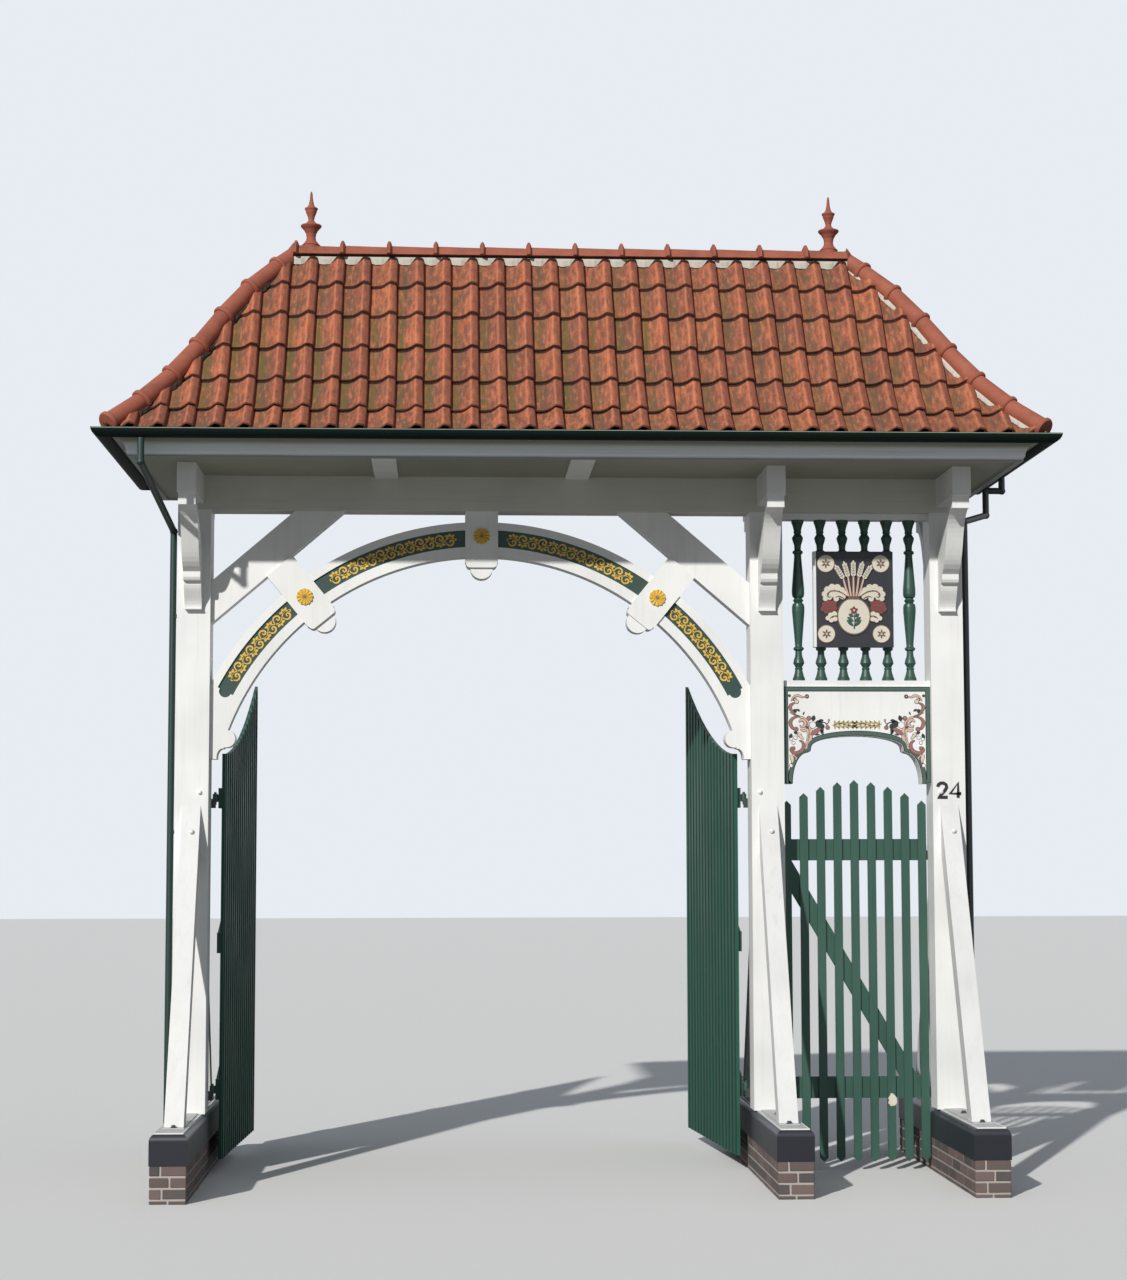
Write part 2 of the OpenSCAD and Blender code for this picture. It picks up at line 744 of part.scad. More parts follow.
// Room that the pendants take out of the arch
module pendant_room() {
    translate([0, 0, lintel_z - big / 2]) cube([pendant_w, big, big], center = true);
    for (side = [-1, 1]) at_haunch(side)
        translate([0, 0, -big / 20]) cube([pendant_w, big, big / 8], center = true);
}

module arch_ring() {
    color("white") translate([passage_x, 0, 0]) difference() {
        slab_y(-arch_t / 2, arch_t) arch_outline();
        slab_y(-arch_t / 2 - 1, groove_t + 1) band_outline();
        pendant_room();
    }
}

module arch_band() {
    color("darkgreen") translate([passage_x, 0, 0]) difference() {
        slab_y(-arch_t / 2 + groove_t - band_t, band_t) band_outline();
        pendant_room();
    }
}

// Corbel outline as distance from the post and height below the springing
module corbel_outline() {
    nose_r = corbel_h * 0.3;
    nose_in = 10;
    nose_u = arch_foot - nose_in;
    foot_u = 52;
    polygon(concat(
        [[0, 0], [arch_foot, 0]],
        arc([nose_u, -nose_r], nose_r, 80, -90, 10),
        [[nose_u - 20, -2 * nose_r], [nose_u - 20, -2 * nose_r - 8]],
        [for (i = [0:6]) let (a = 90 * i / 6)
            [foot_u + (nose_u - 28 - foot_u) * (1 - sin(a)), -2 * nose_r - 8 - (corbel_h - 2 * nose_r - 20) * (1 - cos(a))]],
        [[foot_u, -corbel_h], [0, -corbel_h]]));
}

module arch_corbels() {
    color("white") translate([passage_x, 0, 0]) for (side = [0, 1]) mirror([side, 0, 0])
        translate([-passage_half, 0, spring_z]) slab_y(-arch_t / 2, arch_t) corbel_outline();
}

module knee_braces() {
    brace_t = 140;
    up_u = passage_half - brace_run;
    fall = brace_run * tan(brace_angle);
    color("white") translate([passage_x, 0, 0]) for (side = [0, 1]) mirror([side, 0, 0])
        slab_y(-brace_t / 2, brace_t) polygon([[up_u, lintel_z], [passage_half, lintel_z - fall],
            [passage_half, lintel_z - (passage_half - brace_low_u) * tan(brace_angle)], [brace_low_u, lintel_z]]);
}

rosette_t = 10;
petals = 12;
petal_depth = 0.05;
crown_rosette = 0.53;
haunch_rosette = 0.65;

module rosette() {
    rotate([90, 0, 0]) linear_extrude(rosette_t) polygon([for (i = [0:71]) let (a = 5 * i)
        rosette_r * (1 - petal_depth * (1 - cos(petals * a))) * [cos(a), sin(a)]]);
}

module rosettes() {
    color("gold") translate([passage_x, -pendant_t / 2, 0]) {
        translate([0, 0, lintel_z - crown_rosette * crown_len]) rosette();
        for (side = [-1, 1]) at_haunch(side) translate([0, 0, -haunch_rosette * haunch_len]) rosette();
    }
}

// Wicket bay: rails, arched panel, balusters and the crest board
sill_z = panel_top_z;
rail_t = 120;
baluster_z = sill_z + sill_rail_h;
baluster_len = lintel_z - head_rail_h - baluster_z;

module wicket_rails() {
    color("white") {
        block(bay_x, 0, lintel_z - head_rail_h, wicket_w, rail_t, head_rail_h);
        block(bay_x, 0, sill_z, wicket_w, rail_t, sill_rail_h);
    }
}

// Lower edge of the arched panel: a hollow at each side, a small shoulder and a flat arch
module panel_outline() {
    half = wicket_w / 2;
    side_z = -panel_side_h;
    crown_z = -panel_crown_h;
    shoulder_u = 0.62 * half;
    shoulder_z = crown_z - 115;
    foot_u = half - 70;
    right_edge = concat(
        [for (i = [0:10]) let (a = 90 * i / 10) [shoulder_u * sin(a), crown_z - 85 * (1 - cos(a))]],
        [[shoulder_u + 6, shoulder_z]],
        [for (i = [0:8]) let (a = 90 * i / 8)
            [shoulder_u + 30 + (foot_u - shoulder_u - 30) * sin(a), side_z + (shoulder_z - 12 - side_z) * cos(a)]],
        [[half, side_z]]);
    left_edge = [for (p = reversed(right_edge)) [-p[0], p[1]]];
    polygon(concat([[-half, 0]], left_edge, right_edge, [[half, 0]]));
}

module wicket_panel() {
    color("white") translate([bay_x, 0, sill_z]) slab_y(-arch_t / 2, arch_t) panel_outline();
}

// Turned baluster, the same from either end to its middle ring: share of the largest radius
// and of half the length
baluster_half = [[0.98, 0], [0.98, 0.033], [0.86, 0.05], [0.67, 0.1], [0.57, 0.14], [0.67, 0.15], [0.52, 0.17],
    [0.9, 0.22], [0.79, 0.26], [0.57, 0.31], [0.52, 0.37], [0.83, 0.39], [0.83, 0.41], [0.6, 0.425], [0.57, 0.45],
    [0.79, 0.66], [1, 0.86], [1, 0.92], [0.9, 0.955], [0.62, 0.97], [0.71, 0.985], [0.86, 1]];

module balustrade() {
    pitch = wicket_w / (balusters_n + 0.58);
    half = [for (p = baluster_half) [p[0] * baluster_d / 2, p[1] * baluster_len / 2]];
    color("seagreen") for (i = [0:balusters_n - 1])
        translate([bay_x + pitch * (i - (balusters_n - 1) / 2), 0, baluster_z])
            rotate_extrude($fn = 24) polygon(concat([[0, 0]], half,
                [for (p = reversed(half)) [p[0], baluster_len - p[1]]], [[0, baluster_len]]));
}

module crest_board() {
    crest_gap = 0.3;
    color("darkslategray")
        block(bay_x + crest_off, -baluster_d / 2 - crest_gap - crest_t / 2, baluster_z + (baluster_len - crest_h) / 2,
            crest_w, crest_t, crest_h);
}

// Carriage leaf, closed, with its hinge axis at the origin and its free edge towards +X
leaf_edge = edge_clear - hinge_off;
board_front = -leaf_back - ledge_t - board_t;

function leaf_top(x) = leaf_hinge_z + (leaf_meet_z - leaf_hinge_z) * pow(max(x, 0) / leaf_w, 1.8);

module leaf_outline() {
    polygon(concat([[leaf_w, leaf_foot_z], [leaf_edge, leaf_foot_z]],
        [for (i = [0:10]) let (x = leaf_edge + (leaf_w - leaf_edge) * i / 10) [x, leaf_top(x)]]));
}

module leaf_boards() {
    pitch = (leaf_w - leaf_edge) / strips_n;
    union() {
        slab_y(board_front, board_t) leaf_outline();
        slab_y(board_front - strip_t, strip_t) intersection() {
            leaf_outline();
            for (i = [0:strips_n - 1]) translate([leaf_edge + pitch * (i + 0.5) - strip_w / 2, 0])
                square([strip_w, big]);
        }
    }
}

ledge_zs = [low_hinge_z - ledge_h / 2, (low_hinge_z + leaf_top_hinge_z) / 2 - ledge_h / 2,
    leaf_top_hinge_z - ledge_h / 2];
ledge_start = 20;
leaf_hinge_zs = [low_hinge_z, leaf_top_hinge_z];

// Strap hinge: a long plate on the ledge, bent into an eye round the pin
module strap(z, length) {
    strap_h = 50;
    difference() {
        union() {
            translate([0, -leaf_back, z - strap_h / 2]) cube([length, strap_t, strap_h]);
            translate([0, 0, z - eye_h / 2]) cylinder(r = eye_r, h = eye_h);
        }
        translate([0, 0, z - eye_h]) cylinder(r = pin_r + pin_clear, h = 2 * eye_h);
    }
}

module leaf_ledges() {
    union() {
        for (z = ledge_zs) translate([ledge_start, -leaf_back - ledge_t, z])
            cube([leaf_w - ledge_start - 20, ledge_t, ledge_h]);
        for (i = [0, 1]) leaf_brace(ledge_zs[i] + ledge_h, ledge_zs[i + 1]);
        for (z = leaf_hinge_zs) strap(z, strap_len);
    }
}

// Diagonal brace between two ledges, rising from the hinge side
module leaf_brace(z0, z1) {
    run = leaf_w - 260;
    slab_y(-leaf_back - ledge_t, ledge_t)
        polygon([[60, z0], [220, z0], [run + 160, z1], [run, z1]]);
}

module place_left_leaf() {
    translate([leaf_axis_left, hinge_y, 0]) rotate(left_open) children();
}

module place_right_leaf() {
    translate([leaf_axis_right, hinge_y, 0]) rotate(-right_open) mirror([1, 0, 0]) children();
}

// Wicket gate, closed, with its hinge axis at the origin and its latch towards +X
gate_edge = edge_clear - gate_off;
gate_w = wicket_w - gate_off - edge_clear;
picket_front = -leaf_back - gate_rail_t - picket_t;
picket_pitch = (gate_w - gate_edge - picket_w) / (pickets_n - 1);

module picket(i) {
    middle = (pickets_n - 1) / 2;
    share = abs(i - middle) / middle;
    x = gate_edge + picket_pitch * i;
    top = picket_mid_z - (picket_mid_z - picket_side_z) * pow(share, 1.6);
    point = picket_w / 2;
    slab_y(picket_front, picket_t) polygon([[x, picket_foot_z + point], [x + point, picket_foot_z],
        [x + picket_w, picket_foot_z + point], [x + picket_w, top - point], [x + point, top], [x, top - point]]);
}

module gate_pickets() {
    color("seagreen") place_gate() for (i = [0:pickets_n - 1]) picket(i);
}

module gate_frame() {
    rail_start = ledge_start;
    brace_h = 130;
    low_top = rail_low_z + rail_h;
    color("seagreen") place_gate() union() {
        for (z = [rail_low_z, rail_high_z]) translate([rail_start, -leaf_back - gate_rail_t, z])
            cube([gate_w - rail_start, gate_rail_t, rail_h]);
        slab_y(-leaf_back - gate_rail_t, gate_rail_t) polygon([[rail_start + 60, low_top],
            [rail_start + 60 + brace_h, low_top], [gate_w, rail_high_z - brace_h], [gate_w, rail_high_z],
            [gate_w - brace_h / 2, rail_high_z]]);
        for (z = gate_hinge_zs) strap(z, gate_w * 0.6);
    }
}

gate_hinge_zs = [rail_low_z + rail_h / 2, rail_high_z + rail_h / 2];

module place_gate() {
    translate([gate_axis_x, hinge_y, 0]) mirror([1, 0, 0]) children();
}

// Pintle: a plate on the post's back face, an arm under the eye and the pin
module pintle(z, off) {
    plate_t = 8;
    plate_h = 70;
    arm_half = 8;
    arm_z = z - eye_h / 2 - pintle_h - 1;
    translate([-off - 45, post_half - hinge_y, arm_z - (plate_h - pintle_h) / 2]) cube([off + 45 + arm_half, plate_t, plate_h]);
    translate([-arm_half, post_half - hinge_y, arm_z]) cube([2 * arm_half, hinge_y - post_half, pintle_h]);
    translate([0, 0, arm_z]) cylinder(r = pin_r, h = pintle_h + pin_h);
}

module pintles() {
    color("dimgray") {
        translate([leaf_axis_left, hinge_y, 0]) for (z = leaf_hinge_zs) pintle(z, hinge_off);
        translate([leaf_axis_right, hinge_y, 0]) mirror([1, 0, 0]) for (z = leaf_hinge_zs) pintle(z, hinge_off);
        translate([gate_axis_x, hinge_y, 0]) mirror([1, 0, 0]) for (z = gate_hinge_zs) pintle(z, gate_off);
    }
}

plinth(left_x);  // plinth_left
plinth(0);  // plinth_middle
plinth(right_x);  // plinth_right
coping(left_x);  // coping_left
coping(0);  // coping_middle
coping(right_x);  // coping_right
post(left_x);  // post_left
post(0);  // post_middle
post(right_x);  // post_right
struts(true);  // front_struts
struts(false);  // rear_struts
strut_shoes();
brackets(true);  // front_brackets
brackets(false);  // rear_brackets
cross_beams();
joists();
lintel();
soffit();
cornice();
gutters();
downpipe_left();
downpipe_right();
roof();
ridge_tiles();
hip_tiles();
finials();
arch_ring();
arch_band();
arch_corbels();
knee_braces();
pendants();
rosettes();
wicket_rails();
wicket_panel();
balustrade();
crest_board();
color("darkgreen") place_left_leaf() leaf_boards();  // left_leaf_boards
color("seagreen") place_left_leaf() leaf_ledges();  // left_leaf_ledges
color("darkgreen") place_right_leaf() leaf_boards();  // right_leaf_boards
color("seagreen") place_right_leaf() leaf_ledges();  // right_leaf_ledges
gate_pickets();
gate_frame();
pintles();
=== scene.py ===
# Looks for the roofed gateway: pantiles, brickwork, glazed copings, painted timber and carving
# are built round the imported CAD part. All lengths are in metres, in the part's own frame.
import math
import random
from itertools import product

import bmesh
import bpy
from mathutils import Matrix, Vector


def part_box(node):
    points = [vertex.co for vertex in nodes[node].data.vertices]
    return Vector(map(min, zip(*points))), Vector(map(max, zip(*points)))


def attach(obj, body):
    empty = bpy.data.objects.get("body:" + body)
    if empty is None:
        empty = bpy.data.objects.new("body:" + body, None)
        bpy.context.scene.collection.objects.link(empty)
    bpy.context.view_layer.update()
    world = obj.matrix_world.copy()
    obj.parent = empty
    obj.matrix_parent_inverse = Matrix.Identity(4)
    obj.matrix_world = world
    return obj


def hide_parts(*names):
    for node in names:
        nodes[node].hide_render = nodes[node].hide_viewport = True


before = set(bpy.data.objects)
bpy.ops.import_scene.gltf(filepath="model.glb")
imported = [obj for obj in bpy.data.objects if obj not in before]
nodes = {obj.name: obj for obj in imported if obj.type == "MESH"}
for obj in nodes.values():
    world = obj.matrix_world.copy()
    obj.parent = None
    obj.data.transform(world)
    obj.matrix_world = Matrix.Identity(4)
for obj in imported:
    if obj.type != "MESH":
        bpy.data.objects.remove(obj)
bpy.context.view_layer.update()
ROOT = "gateway"
rng = random.Random(7)

# Sizes shared with the part
POST = 0.245
PASSAGE = 4.010
WICKET = 1.110
LEFT_X = -(PASSAGE + POST)
RIGHT_X = WICKET + POST
POST_XS = (LEFT_X, 0.0, RIGHT_X)
PASSAGE_X = LEFT_X / 2
BAY_X = RIGHT_X / 2
ROOF_X = (LEFT_X + RIGHT_X) / 2
BRICK_H = 0.255
COPING_Z = BRICK_H + 0.215
PLINTH_HALF = 0.125
PLINTH_END = 1.42
SOFFIT_Z = 5.155
EAVES_Z = 5.310
HINGE_OFF = 0.025
HINGE_Y = 0.1645
LEFT_OPEN = math.radians(87.5)
RIGHT_OPEN = math.radians(95.0)
LEAF_STRIPS = 16
LEAF_START = -0.011
LEAF_PITCH = (PASSAGE / 2 - 0.030 - LEAF_START) / LEAF_STRIPS


def in_scene(name, data):
    obj = bpy.data.objects.new(name, data)
    bpy.context.scene.collection.objects.link(obj)
    return obj


# Materials
def grey(value):
    return (value, value, value, 1)


class Shading:
    """A material or world and its nodes. Coats of colour are laid over base one by one."""

    def __init__(self, name, kind="materials"):
        self.owner = getattr(bpy.data, kind).new(name)
        self.owner.use_nodes = True
        self.tree = self.owner.node_tree
        self.bsdf = self.tree.nodes.get("Principled BSDF")
        self.base = None

    def node(self, kind, **values):
        node = self.tree.nodes.new(kind)
        for key, value in values.items():
            setattr(node, key, value)
        return node

    def wire(self, value, socket):
        """Links another node's socket, or sets a constant."""
        if isinstance(value, bpy.types.NodeSocket):
            self.tree.links.new(value, socket)
        elif isinstance(value, tuple) and len(value) == 3:
            socket.default_value = (*value, 1)
        else:
            socket.default_value = value

    def place(self):
        return self.node("ShaderNodeTexCoord").outputs["Object"]

    def attribute(self, name):
        return self.node("ShaderNodeAttribute", attribute_name=name).outputs["Fac"]

    def axes(self, vector):
        split = self.node("ShaderNodeSeparateXYZ")
        self.wire(vector, split.inputs["Vector"])
        return [split.outputs[axis] for axis in "XYZ"]

    def noise(self, scale, detail, rough, stretch=(1, 1, 1), source=None):
        mapping = self.node("ShaderNodeMapping")
        mapping.inputs["Scale"].default_value = stretch
        self.wire(self.place() if source is None else source, mapping.inputs["Vector"])
        tex = self.node("ShaderNodeTexNoise")
        for key, value in (("Scale", scale), ("Detail", detail), ("Roughness", rough)):
            tex.inputs[key].default_value = value
        self.wire(mapping.outputs["Vector"], tex.inputs["Vector"])
        return tex.outputs["Fac"]

    def ramp(self, fac, stops):
        node = self.node("ShaderNodeValToRGB")
        elements = node.color_ramp.elements
        while len(elements) < len(stops):
            elements.new(0.5)
        for element, (place, value) in zip(elements, stops):
            element.position = place
            element.color = value if len(value) == 4 else (*value, 1)
        self.wire(fac, node.inputs["Fac"])
        return node.outputs["Color"]

    def rise(self, fac, low, high):
        return self.ramp(fac, [(low, grey(0)), (high, grey(1))])

    def fall(self, fac, low, high):
        return self.ramp(fac, [(low, grey(1)), (high, grey(0))])

    def mix(self, fac, a, b, mode="MIX"):
        node = self.node("ShaderNodeMix", data_type="RGBA", blend_type=mode)
        for value, name in ((fac, "Factor"), (a, "A"), (b, "B")):
            self.wire(value, [s for s in node.inputs if s.name == name and s.enabled][0])
        return [s for s in node.outputs if s.enabled][0]

    def math(self, operation, a, b=0.0, clamp=False):
        node = self.node("ShaderNodeMath", operation=operation, use_clamp=clamp)
        self.wire(a, node.inputs[0])
        self.wire(b, node.inputs[1])
        return node.outputs["Value"]

    def times(self, a, b):
        return self.math("MULTIPLY", a, b)

    def minus(self, a, b):
        return self.math("SUBTRACT", a, b)

    def bell(self, value, middle, reach):
        """1 at the middle, falling to 0 at reach on both sides."""
        away = self.math("ABSOLUTE", self.minus(value, middle))
        return self.math("SUBTRACT", 1.0, self.times(away, 1 / reach), True)

    def coat(self, mask, share, colour):
        self.base = self.mix(self.times(mask, share), self.base, colour)

    def finish(self, rough, bump, height):
        self.wire(self.base, self.bsdf.inputs["Base Color"])
        self.wire(rough, self.bsdf.inputs["Roughness"])
        node = self.node("ShaderNodeBump")
        node.inputs["Strength"].default_value = 0.7
        node.inputs["Distance"].default_value = height
        self.wire(bump, node.inputs["Height"])
        self.wire(node.outputs["Normal"], self.bsdf.inputs["Normal"])
        return self.owner


def painted_wood(name, colour, dirt, amount, grain, gloss, streak=0.0, leaf=None):
    """Brushed paint over timber: grain along one axis, soft grime and small worn specks.
    On a leaf, given by its hinge and turn, painted shadow lies beside each cover strip."""
    s = Shading(name)
    broad = s.noise(1.7, 3, 0.5)
    fine = s.noise(1.0, 6, 0.7, grain)
    s.base = s.mix(1.0, colour, s.ramp(broad, [(0.3, grey(0.90)), (0.7, grey(1.04))]), "MULTIPLY")
    s.coat(s.fall(fine, 0.30, 0.47), amount, dirt)
    s.coat(s.rise(s.noise(55, 2, 0.5), 0.70, 0.76), amount * 0.8, dirt)
    if streak:
        s.coat(s.rise(s.noise(1.0, 5, 0.65, (14, 14, 0.5)), 0.52, 0.75), streak, dirt)
    if leaf:
        hinge_x, turn = leaf
        x, y, _ = s.axes(s.place())
        x = s.times(s.minus(x, hinge_x), math.cos(turn))
        y = s.times(s.minus(y, HINGE_Y), math.sin(turn))
        phase = s.math("FRACT", s.times(s.minus(s.math("ADD", x, y), LEAF_START), 1 / LEAF_PITCH))
        # Painted shadow on the shaded side of each cover strip; a brown line on its other side
        s.coat(s.bell(phase, 0.22, 0.17), 0.95, (0.006, 0.014, 0.011))
        s.coat(s.bell(phase, 0.74, 0.10), 0.75, (0.17, 0.13, 0.11))
        s.bsdf.inputs["Specular IOR Level"].default_value = 0.15
    return s.finish(s.ramp(broad, [(0.3, grey(gloss)), (0.7, grey(gloss + 0.18))]), fine, 0.0012)


def cornice_painted_shade(name, foot, height):
    """Eaves board in painted shade: dark under the gutter, where its shadow falls, then paler and bluer
    towards its lower edge as painted skylight.
    """
    s = Shading(name)
    up = s.times(s.minus(s.axes(s.place())[2], foot), 1 / height)
    up = s.math("ADD", up, s.times(s.minus(s.noise(1.0, 5, 0.65, (2.5, 2.5, 30)), 0.5), 0.06))
    # Painted shade and skylight up the board's height, darkest at the top
    s.base = s.ramp(up, [
        (0.00, (0.26, 0.27, 0.26)), (0.05, (0.30, 0.31, 0.30)), (0.09, (0.68, 0.73, 0.74)),
        (0.18, (0.93, 0.96, 0.98)), (0.30, (0.90, 0.93, 0.96)), (0.38, (0.78, 0.84, 0.86)),
        (0.48, (0.74, 0.79, 0.77)), (0.55, (0.50, 0.52, 0.45)), (0.62, (0.28, 0.28, 0.23)),
        (0.80, (0.17, 0.17, 0.14)), (1.0, (0.13, 0.13, 0.11))])
    fine = s.noise(1.0, 6, 0.7, (1.0, 26, 26))
    s.coat(s.fall(fine, 0.30, 0.47), 0.18, (0.30, 0.30, 0.27))
    return s.finish(0.5, fine, 0.0012)


def clay(name):
    """Weathered clay tile with painted light and shade. The UV map runs across and along each tile, tone
    varies tile by tile.
    """
    s = Shading(name)
    across, along, _ = s.axes(s.node("ShaderNodeUVMap", uv_map="UVMap").outputs["UV"])
    tone = s.attribute("tone")
    grain = s.noise(90, 4, 0.7)
    s.base = s.ramp(tone, [(0.0, (0.28, 0.084, 0.048)), (0.35, (0.38, 0.110, 0.056)),
                           (0.75, (0.45, 0.132, 0.064)), (1.0, (0.52, 0.155, 0.070))])
    s.coat(s.rise(s.noise(11, 6, 0.65), 0.46, 0.70), 0.55, (0.25, 0.125, 0.085))
    s.coat(s.rise(s.noise(24, 3, 0.5), 0.60, 0.74), 0.5, (0.66, 0.27, 0.13))
    # Darker mottled patches in the pan
    pan_patches = s.rise(s.noise(5, 5, 0.6, (1, 1, 0.5)), 0.34, 0.58)
    s.coat(s.times(pan_patches, s.bell(across, 0.34, 0.34)), 0.90, (0.118, 0.084, 0.050))
    # Streaks down the slope
    drip = s.node("ShaderNodeCombineXYZ")
    for value, stretch, socket in zip((across, along, tone), (9.0, 3.6, 40.0), drip.inputs):
        s.wire(s.times(value, stretch), socket)
    streak = s.noise(1.0, 4, 0.6, source=drip.outputs["Vector"])
    s.coat(s.rise(streak, 0.48, 0.62), 0.66, (0.120, 0.062, 0.044))
    s.coat(s.fall(streak, 0.34, 0.46), 0.45, (0.62, 0.230, 0.112))
    moss = s.times(s.rise(s.noise(16, 4, 0.6), 0.36, 0.47), s.bell(across, 0.19, 0.16))
    s.coat(moss, s.attribute("moss"), (0.105, 0.110, 0.026))
    # Light on the roll, shade on its far side and in the joint
    for middle, reach, share, colour in ((0.73, 0.07, 0.40, (0.74, 0.27, 0.15)),
                                         (0.93, 0.15, 0.72, (0.20, 0.065, 0.043)),
                                         (0.015, 0.085, 0.92, (0.030, 0.016, 0.012))):
        s.coat(s.bell(across, middle, reach), share, colour)
    # Painted shade on the tile's nose and lower edge
    low = s.ramp(along, [(0.0, grey(1)), (0.02, grey(0.30)), (0.07, grey(0))])
    s.coat(low, 0.3, (0.15, 0.065, 0.045))
    # Painted shadow under the lip of the course above
    s.coat(s.rise(along, 0.872, 0.888), 0.97, (0.012, 0.005, 0.004))
    s.coat(s.fall(grain, 0.36, 0.56), 0.34, (0.17, 0.068, 0.045))
    s.bsdf.inputs["Specular IOR Level"].default_value = 0.25
    return s.finish(0.82, grain, 0.0012)


def fired(name, stops, dirt, rough, glaze=0.0, scale=14):
    """Brick, mortar or glaze: tone from the piece, with mottled colour and grain."""
    s = Shading(name)
    grain = s.noise(160, 3, 0.7)
    mottle = s.times(s.noise(scale, 6, 0.65), 0.3)
    s.base = s.ramp(s.math("ADD", s.times(s.attribute("tone"), 0.7), mottle), stops)
    s.coat(s.rise(grain, 0.52, 0.70), 0.35, dirt)
    s.bsdf.inputs["Coat Weight"].default_value = glaze
    s.bsdf.inputs["Coat Roughness"].default_value = 0.12
    return s.finish(rough, grain, 0.0004 if glaze else 0.0012)


def metal_paint(name, colour, rough, wear=(0.14, 0.13, 0.12), metallic=0.0, shine=0.5):
    s = Shading(name)
    s.base = colour
    s.coat(s.rise(s.noise(6, 5, 0.6), 0.52, 0.72), 0.4, wear)
    s.bsdf.inputs["Metallic"].default_value = metallic
    s.bsdf.inputs["Specular IOR Level"].default_value = shine
    return s.finish(rough, s.noise(120, 2, 0.5), 0.0003)


# Stretch of the grain: upright or level timber, even or close for ornament
UPRIGHT = (26, 26, 1.2)
LEVEL = (1.2, 26, 26)
EVEN = (14, 14, 14)
CLOSE = (20, 20, 20)
WHITE = painted_wood("white_paint", (0.80, 0.805, 0.79), (0.46, 0.45, 0.41), 0.16, UPRIGHT, 0.40, 0.10)
WHITE_X = painted_wood("white_paint_level", (0.78, 0.785, 0.775), (0.46, 0.45, 0.41), 0.16, LEVEL, 0.40)
# The struts' white is darker as painted shade, offsetting the stronger sun on their faces
STRUT_SHADED_WHITE = painted_wood("strut_painted_shade", (0.70, 0.705, 0.70), (0.42, 0.41, 0.39), 0.18, UPRIGHT, 0.40, 0.16)
# The lintel's white is darker, as painted shade from the eaves
LINTEL_SHADED_WHITE = painted_wood("lintel_painted_shade", (0.60, 0.60, 0.53), (0.36, 0.35, 0.30), 0.20, LEVEL, 0.45)
# The soffit's white is much darker, as painted shade under the eaves
SOFFIT_PAINTED_SHADE = painted_wood("soffit_painted_shade", (0.29, 0.29, 0.235), (0.16, 0.16, 0.13), 0.25, LEVEL, 0.5)
GREEN = painted_wood("dark_green_paint", (0.027, 0.080, 0.059), (0.012, 0.03, 0.024), 0.30,
                     (26, 26, 1.5), 0.36)
LEFT_LEAF, RIGHT_LEAF = [
    painted_wood(side + "_leaf_paint", (0.026, 0.100, 0.070), (0.012, 0.035, 0.028), 0.45,
                 (22, 22, 0.7), 0.42, 0.25, leaf)
    for side, leaf in (("left", (LEFT_X + POST / 2 + HINGE_OFF, LEFT_OPEN)),
                       ("right", (-POST / 2 - HINGE_OFF, RIGHT_OPEN)))]
PICKET_GREEN = painted_wood("picket_green_paint", (0.028, 0.088, 0.064), (0.014, 0.040, 0.032), 0.40,
                            (24, 24, 0.9), 0.40, 0.2)
BAND_GREEN = painted_wood("band_green_paint", (0.016, 0.050, 0.038), (0.030, 0.07, 0.055), 0.25,
                          CLOSE, 0.45)
GOLD = painted_wood("gold_paint", (0.72, 0.46, 0.07), (0.30, 0.17, 0.04), 0.35, (12, 12, 12), 0.38)
BLACK_BOARD = painted_wood("black_board_paint", (0.016, 0.017, 0.024), (0.05, 0.05, 0.055), 0.30,
                           (26, 26, 1.4), 0.45)
CREAM, UMBER, CREST_RED, ROSE, BLUSH, PEACH, FADED_GOLD, LINE = [
    painted_wood(name + "_paint", colour, dirt, amount, EVEN, 0.5) for name, colour, dirt, amount in (
        ("cream", (0.68, 0.63, 0.53), (0.40, 0.34, 0.26), 0.30),
        ("umber", (0.13, 0.085, 0.055), (0.06, 0.04, 0.03), 0.30),
        ("crest_red", (0.20, 0.040, 0.040), (0.12, 0.04, 0.04), 0.35),
        ("rose", (0.30, 0.135, 0.120), (0.14, 0.06, 0.06), 0.35),
        ("blush", (0.62, 0.43, 0.35), (0.34, 0.2, 0.16), 0.35),
        ("peach", (0.70, 0.55, 0.42), (0.40, 0.26, 0.2), 0.30),
        ("faded_gold", (0.42, 0.33, 0.15), (0.55, 0.50, 0.36), 0.45),
        ("line", (0.050, 0.032, 0.030), (0.09, 0.06, 0.05), 0.2))]
BORDER = painted_wood("border_paint", (0.060, 0.105, 0.085), (0.05, 0.09, 0.07), 0.25, CLOSE, 0.45)
BORDER_DARK = painted_wood("border_line", (0.008, 0.026, 0.022), (0.02, 0.04, 0.035), 0.2, CLOSE, 0.45)
BLACK = painted_wood("black_paint", (0.014, 0.014, 0.016), (0.04, 0.04, 0.04), 0.2, EVEN, 0.4)
EAVES_PAINTED_SHADE = cornice_painted_shade("eaves_paint", SOFFIT_Z - 0.015, EAVES_Z - SOFFIT_Z + 0.015)
CLAY = clay("roof_clay")
RIDGE_CLAY = fired("ridge_clay", [(0.06, (0.17, 0.055, 0.036)), (0.14, (0.31, 0.088, 0.050)),
                                  (0.24, (0.40, 0.125, 0.075))], (0.15, 0.060, 0.042), 0.8, 0.0, 7)
